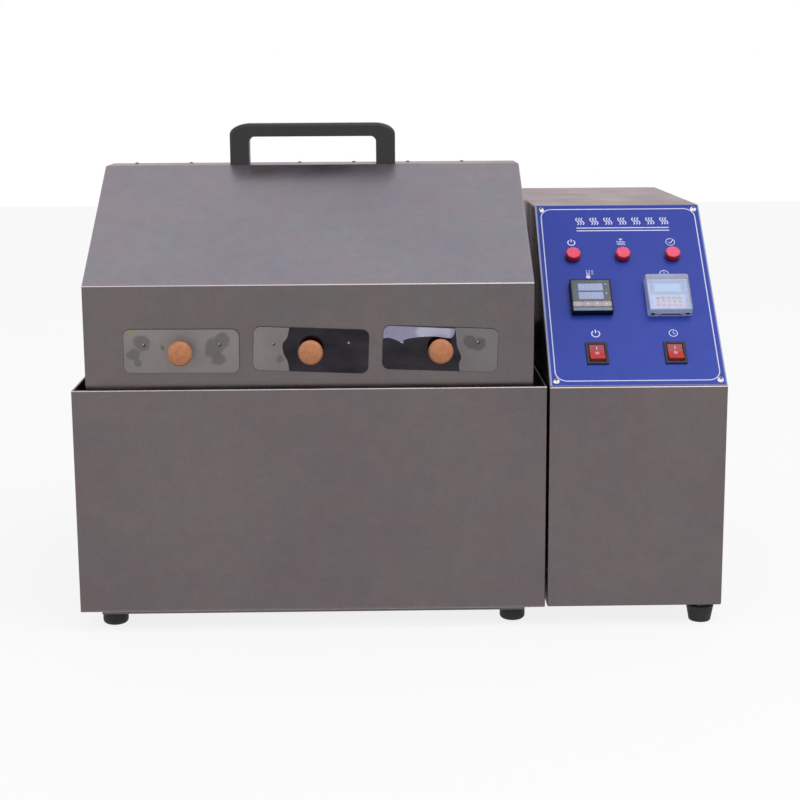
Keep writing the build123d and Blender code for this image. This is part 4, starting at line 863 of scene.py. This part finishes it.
def seven_segments(width, height, line):
    """The seven segments of one digit, as pointed bars about the middle."""
    bars = []
    for rise in (-1, 0, 1):
        y = rise * (height - line) / 2
        reach = width / 2 - 0.75 * line
        bars.append([
            (-reach, y - line / 2), (reach, y - line / 2), (reach + line / 2, y), (reach, y + line / 2),
            (-reach, y + line / 2), (-reach - line / 2, y),
        ])
    for side in (-1, 1):
        for rise in (-1, 1):
            x = side * (width - line) / 2
            y = rise * (height - line) / 4
            reach = (height - line) / 4 - 0.6 * line
            bars.append([
                (x - line / 2, y - reach), (x, y - reach - line / 2), (x + line / 2, y - reach),
                (x + line / 2, y + reach), (x, y + reach + line / 2), (x - line / 2, y + reach),
            ])
    return bars


def digits(count, pitch, width, height, line):
    """A row of unlit seven-segment digits about the middle."""
    return [
        [(x + (index - (count - 1) / 2) * pitch, y) for x, y in bar]
        for index in range(count)
        for bar in seven_segments(width, height, line)
    ]


# Controller, in millimetres from its middle: two displays with unlit digits, small lamps and marks,
# and a strip at its foot
display_width, display_height, display_corner = 29, 10.6, 0.6
display_shift = -0.5
display_rises = (11.5, -1.3)
lamp_width, lamp_height, lamp_pitch = 2.6, 1.2, 4.9
lamps_middle = (-18.2, 5)
side_marks_middle = (17.6, 11.5)
name_bar_middle = (13, 19)
foot_strip_size = (44.6, 4.4)
foot_strip_up = -21.4
face_height = height_on_panel("controller_face")
case_height = height_on_panel("controller_case")
face_place = panel.moved(controller_x, controller_y, face_height)


def on_face(name, outlines, paint_name, at=(0, 0), below=0):
    """Layer on the controller's face, with so many layers below it."""
    plates(name, outlines, face_place.moved(*at, below * layer), layer, paint_name,
           "tank_and_controls")


for number, rise in enumerate(display_rises, start=1):
    at = (display_shift, rise)
    glass = rounded(display_width, display_height, display_corner)
    unlit = digits(4, pitch=6.6, width=4.9, height=8.4, line=0.95)
    on_face(f"controller_display_{number}", [glass], "display", at)
    on_face(f"controller_digits_{number}", unlit, "display_digit", at, 1)
lamp_column = [
    rectangle(lamp_width, lamp_height, (0, lamp_pitch * step)) for step in (-1.5, -0.5, 0.5, 1.5)
]
on_face("controller_lamps", lamp_column, "display_dim", lamps_middle)
side_marks = [rectangle(2.2, 0.9, (0, 4.2)), rectangle(1.1, 2.0, (0, -9.4))]
on_face("controller_side_marks", side_marks, "ink", side_marks_middle)
on_face("controller_name_bar", [rectangle(9, 0.7)], "display_dim", name_bar_middle)
plates("controller_foot_strip", [rounded(*foot_strip_size, corner=0.5)],
       face_place.moved(0, foot_strip_up, case_height - face_height), foot_strip_thickness, "teal",
       "tank_and_controls")

# Strip that the four keys come through, and their marks: set ring, shift, down and up
strip_half, strip_height = 22.3, 6.2
key_half = 4.4
key_row = centre_on_panel("controller_key_1")[1] - controller_y
stops = [-strip_half]
for number in range(1, 5):
    key_x = centre_on_panel(f"controller_key_{number}")[0] - controller_x
    stops += [key_x - key_half, key_x + key_half]
stops.append(strip_half)
plates("controller_key_strip", bars_between(stops, strip_height, key_row),
       panel.moved(controller_x, controller_y, case_height), strip_thickness, "keys",
       "tank_and_controls")


def press_mark(node, outlines, paint_name):
    """Mark on top of a key or button, which rides with it."""
    top = panel.moved(*centre_on_panel(node), height_on_panel(node))
    plates(f"{node}_mark", outlines, top, button_mark_thickness, paint_name, node)


key_marks = (
    circle_line((0, 0), 1.5, 0.5),
    [(1.3, 1.6), (-1.5, 0), (1.3, -1.6)],
    [(-1.7, 1.3), (0, -1.5), (1.7, 1.3)],
    [(-1.7, -1.3), (1.7, -1.3), (0, 1.5)],
)
for number, outline in enumerate(key_marks, start=1):
    press_mark(f"controller_key_{number}", [outline], "ink")

# Timer, in millimetres from its middle: a window with an unlit display, and a pale label with five
# setting wheels
timer_face = 6.0
window_size = (43, 20)
window_middle = (0, 11.2)
lcd_size = (32, 12)
lcd_middle = (0, 11.6)
wheel_pitch, wheel_up = 6.35, -9
wheel_width, wheel_height = 4.4, 4.6
label_width = 38
label_top, label_foot = -0.4, -19
button_gap = 0.25
timer_place = panel.moved(timer_x, timer_y, timer_face)


def on_timer(name, outlines, paint_name, at=(0, 0), below=0, thickness=layer):
    """Layer on the timer's face, with so many layers below it."""
    plates(name, outlines, timer_place.moved(*at, below * layer), thickness, paint_name,
           "tank_and_controls")


on_timer("timer_window", [rounded(*window_size, corner=1)], "timer_window", window_middle)
on_timer("timer_display", [rounded(*lcd_size, corner=0.8)], "lcd", lcd_middle, 1)
lcd_digits = digits(4, pitch=7.0, width=4.9, height=9.0, line=0.9)
on_timer("timer_digits", lcd_digits, "lcd_digit", lcd_middle, 2)

# The label leaves an opening for each button in its upper and its lower row
label_bars = []
previous = label_top
for row in ("plus", "minus"):
    spans = [span_on_panel(f"timer_{row}_{number}") for number in range(1, 6)]
    row_top = max(head for _, _, _, head in spans) - timer_y + button_gap
    row_foot = min(foot for _, _, foot, _ in spans) - timer_y - button_gap
    label_bars.append(rectangle(label_width, previous - row_top, (0, (previous + row_top) / 2)))
    stops = [-label_width / 2]
    for left, right, _, _ in spans:
        stops += [left - timer_x - button_gap, right - timer_x + button_gap]
    stops.append(label_width / 2)
    label_bars += bars_between(stops, row_top - row_foot, (row_top + row_foot) / 2)
    previous = row_foot
label_bars.append(rectangle(label_width, previous - label_foot, (0, (previous + label_foot) / 2)))
on_timer("timer_label", label_bars, "label")

# Setting wheels, each showing an unlit nought: the seven segments without the middle one
segments = seven_segments(width=2.0, height=3.4, line=0.45)
nought = segments[:1] + segments[2:]
for number in range(1, 6):
    at = ((number - 3) * wheel_pitch, wheel_up)
    on_timer(f"timer_wheel_{number}", [rectangle(wheel_width, wheel_height)], "wheel", at, 1)
    on_timer(f"timer_wheel_digit_{number}", nought, "wheel_digit", at, 2, mark_thickness)

# Marks of the timer's buttons: a plus in the upper row and a minus in the lower one
arm = 2.4
arm_width = 0.7
stub = (arm - arm_width) / 2
minus_sign = [rectangle(arm, arm_width)]
plus_sign = minus_sign + [
    rectangle(arm_width, stub, (0, side * (arm_width + stub) / 2)) for side in (1, -1)
]
for row, sign in (("plus", plus_sign), ("minus", minus_sign)):
    for number in range(1, 6):
        press_mark(f"timer_{row}_{number}", sign, "wheel_digit")

# Painted shade of the timer's hinge slot: dark plates on the case's lower wall and on the cover frame's
# foot rail
rail_top = 2.4
rail_depth = 1.8
rail_gap = 0.25
wall_shade_height = 1.2
slot_length, slot_end_length, slot_end_out = 28, 5, 20.2
timer_case_foot = min(
    (vertex.co - panel.origin).dot(up_slope) / MM for vertex in nodes["timer_case"].data.vertices
    if (vertex.co - panel.origin).dot(panel_normal) > MM
)
shade_on_wall = Place(
    panel.point(timer_x, timer_case_foot, rail_top + wall_shade_height / 2), across, panel_normal
)
shade_on_rail = panel.moved(timer_x, timer_case_foot - rail_gap - rail_depth / 2, rail_top)
for part_name, slot_place, height in (
    ("wall", shade_on_wall, wall_shade_height),
    ("rail", shade_on_rail, rail_depth),
):
    slot_shades = [rectangle(slot_length, height)]
    for side in (-1, 1):
        slot_shades.append(rounded(slot_end_length, height, 0.45 * height, (side * slot_end_out, 0)))
    plates(f"timer_hinge_slot_shade_{part_name}", slot_shades, slot_place, mark_thickness, "recess",
           "tank_and_controls")


# Rocker marks: a bar on the pressed upper half and a ring on the raised lower half
def flat_half(node, least, most):
    """Place at the middle of the rocker half whose face leans up the slope by so much."""
    mesh = nodes[node].data
    faces = [
        face for face in mesh.polygons
        if face.normal.dot(panel_normal) > 0.8
        and least < face.normal.dot(up_slope) < most
        and face.area > 20 * MM ** 2
    ]
    lean = faces[0].normal.cross(across)
    corners = [mesh.vertices[index].co for face in faces for index in face.vertices]
    sides = [corner.x for corner in corners]
    rises = [corner.dot(lean) for corner in corners]
    height = corners[0].dot(faces[0].normal)
    middle_point = (
        across * (min(sides) + max(sides)) / 2
        + lean * (min(rises) + max(rises)) / 2
        + faces[0].normal * height
    )
    return Place(middle_point, across, lean)


pressed_lean, raised_lean = (-0.15, 0.15), (0.2, 0.6)
on_mark, on_mark_up = rectangle(0.9, 4.2), 0.6
off_mark, off_mark_up = circle_line((0, 0), 1.7, 0.8), 3.4
for node in ("rocker_1", "rocker_2"):
    upper_half = flat_half(node, *pressed_lean).moved(up=on_mark_up)
    lower_half = flat_half(node, *raised_lean).moved(up=off_mark_up)
    plates(f"{node}_on_mark", [on_mark], upper_half, mark_thickness, "ink", node)
    plates(f"{node}_off_mark", [off_mark], lower_half, mark_thickness, "ink", node)


def bowed(points, steps=6):
    """Smooth open line through given points."""
    line = []
    for index in range(len(points) - 1):
        p0 = Vector(points[max(index - 1, 0)])
        p1 = Vector(points[index])
        p2 = Vector(points[index + 1])
        p3 = Vector(points[min(index + 2, len(points) - 1)])
        for step in range(steps):
            t = step / steps
            line.append(tuple(0.5 * (
                2 * p1 + (p2 - p0) * t + (2 * p0 - 5 * p1 + 4 * p2 - p3) * t * t
                + (3 * p1 - p0 - 3 * p2 + p3) * t ** 3
            )))
    return line + [tuple(points[-1])]


# Drawer plates: protective film, torn on the second and third, and the two rivets of each, each over a
# painted shadow
half_x = plate_half_width - film_inset
half_z = plate_half_height - film_inset
film_corner = plate_corner - film_inset
upper_left, lower_left, lower_right, upper_right = (
    arc((side * (half_x - film_corner), rise * (half_z - film_corner)), film_corner, start, start + 90)
    for side, rise, start in ((-1, 1, 90), (-1, -1, 180), (1, -1, 270), (1, 1, 0))
)
whole_film = upper_right + upper_left + lower_left + lower_right
left_tear = [(-24, -half_z), (-26, -14), (-31, -4), (-32, 6), (-27, 14), (-25, half_z)]
left_film = upper_left + lower_left + bowed(left_tear)
right_tear = [(16, half_z), (18, 12), (19, 4), (24, -8), (22, -16), (23, -half_z)]
right_film = lower_right + upper_right + bowed(right_tear)
strip_tear = [
    (16, half_z - 1), (12, 13), (-8, 14), (-30, 12), (-41, 9), (-43, 5), (-48, 8), (-58, 11),
    (-half_x, 10),
]
strip_film = bowed(strip_tear) + upper_left[::-1]
film_shapes = {
    1: [("film", whole_film)],
    2: [("film", left_film)],
    3: [("film", right_film), ("film_strip", strip_film)],
}
for number, tilt in enumerate(plate_tilts, start=1):
    body = f"drawer_{number}"
    upright = Place(on_drawer(number, 0, 0), across, (0, 0, 1))
    for part_name, outline in film_shapes[number]:
        paint_name = "film_strip" if part_name == "film_strip" else f"film_{number}"
        plates(f"drawer_{part_name}_{number}", [outline], upright.moved(turn=-tilt), film_thickness,
               paint_name, body)
    on_film = upright.moved(out=film_thickness)
    for side, rivet_x in (("left", -rivet_out), ("right", rivet_out)):
        head = disc((rivet_x, rivet_up), rivet_radius)
        # Painted shadow: a dark disc under the rivet head
        rivet_shadow = disc((rivet_x + rivet_shadow_shift[0], rivet_up + rivet_shadow_shift[1]), rivet_shadow_radius)
        plates(f"drawer_rivet_{side}_{number}", [head], on_film, rivet_height, "rivet", body)
        plates(f"drawer_rivet_shadow_{side}_{number}", [rivet_shadow], on_film, rivet_shadow_thickness, "recess",
               body)


# Camera
forward = Vector((
    math.sin(camera_yaw) * math.cos(camera_pitch),
    math.cos(camera_yaw) * math.cos(camera_pitch),
    -math.sin(camera_pitch),
))
level = Vector((math.cos(camera_yaw), -math.sin(camera_yaw), 0))
above = level.cross(forward)
camera_right = level * math.cos(camera_roll) + above * math.sin(camera_roll)
camera_up = above * math.cos(camera_roll) - level * math.sin(camera_roll)
camera_data = bpy.data.cameras.new("camera")
camera_data.sensor_width = camera_sensor
camera_data.lens = camera_lens
camera = bpy.data.objects.new("camera", camera_data)
camera.matrix_world = Matrix((
    (camera_right.x, camera_up.x, -forward.x, camera_place.x),
    (camera_right.y, camera_up.y, -forward.y, camera_place.y),
    (camera_right.z, camera_up.z, -forward.z, camera_place.z),
    (0, 0, 0, 1),
))
bpy.context.scene.collection.objects.link(camera)
bpy.context.scene.camera = camera


def area_lamp(name, place, target, size, power):
    """Soft square lamp that faces a target."""
    data = bpy.data.lights.new(name, "AREA")
    data.size = size
    data.energy = power
    lamp = bpy.data.objects.new(name, data)
    lamp.location = place
    lamp.rotation_euler = (Vector(target) - Vector(place)).to_track_quat("-Z", "Y").to_euler()
    bpy.context.scene.collection.objects.link(lamp)


middle = (cad_low + cad_high) / 2
area_lamp("key_lamp", key_place, middle, key_size, key_power)
area_lamp("fill_lamp", fill_place, middle, fill_size, fill_power)


def white_where_seen(tree, shader_output, target, share=1.0):
    """Mixes plain white in where the camera, a gloss or clear plastic sees the shader."""
    link = tree.links.new
    path = tree.nodes.new("ShaderNodeLightPath")
    seen = path.outputs["Is Camera Ray"]
    for ray in ("Is Glossy Ray", "Is Transmission Ray"):
        most = tree.nodes.new("ShaderNodeMath")
        most.operation = "MAXIMUM"
        link(seen, most.inputs[0])
        link(path.outputs[ray], most.inputs[1])
        seen = most.outputs["Value"]
    part = tree.nodes.new("ShaderNodeMath")
    part.operation = "MULTIPLY"
    link(seen, part.inputs[0])
    part.inputs[1].default_value = share
    white = tree.nodes.new("ShaderNodeBackground" if target.node.type == "OUTPUT_WORLD"
                           else "ShaderNodeEmission")
    white.inputs["Color"].default_value = (1, 1, 1, 1)
    white.inputs["Strength"].default_value = 1
    mix = tree.nodes.new("ShaderNodeMixShader")
    link(part.outputs["Value"], mix.inputs["Fac"])
    link(shader_output, mix.inputs[1])
    link(white.outputs[0], mix.inputs[2])
    link(mix.outputs["Shader"], target)


# World: white wherever it is seen, and dimmer as a light
world = bpy.data.worlds.new("studio")
world.use_nodes = True
bpy.context.scene.world = world
sky = world.node_tree.nodes["Background"]
sky.inputs["Color"].default_value = (1, 1, 1, 1)
sky.inputs["Strength"].default_value = world_strength
white_where_seen(
    world.node_tree, sky.outputs["Background"],
    world.node_tree.nodes["World Output"].inputs["Surface"],
)

# Floor: mostly white to the eye, so that the rest holds the object's shadow
floor_mesh = bpy.data.meshes.new("floor")
floor_mesh.from_pydata(
    [(-floor_half, -floor_half, 0), (floor_half, -floor_half, 0), (floor_half, floor_half, 0),
     (-floor_half, floor_half, 0)],
    [], [(0, 1, 2, 3)],
)
floor_paint = Paint("floor", grey(0.95), 0.9)
floor_paint.tint(floor_paint.noise(3, 2), grey(0.99), grey(1.0))
white_where_seen(
    floor_paint.tree, floor_paint.shader.outputs["BSDF"],
    floor_paint.tree.nodes["Material Output"].inputs["Surface"], floor_white,
)
# The floor throws less light back at the object than its white would
unseen = floor_paint.node("MixShader")
dull = floor_paint.node("BsdfDiffuse")
dull.inputs["Color"].default_value = (*grey(bounce_grey), 1)
bounce = floor_paint.node("LightPath").outputs["Is Diffuse Ray"]
surface = floor_paint.tree.nodes["Material Output"].inputs["Surface"]
floor_paint.link(bounce, unseen.inputs["Fac"])
floor_paint.link(surface.links[0].from_socket, unseen.inputs[1])
floor_paint.link(dull.outputs["BSDF"], unseen.inputs[2])
floor_paint.link(unseen.outputs["Shader"], surface)
floor_mesh.materials.append(floor_paint.material)
floor = bpy.data.objects.new("floor", floor_mesh)
bpy.context.scene.collection.objects.link(floor)

bpy.context.scene.view_settings.view_transform = "Standard"
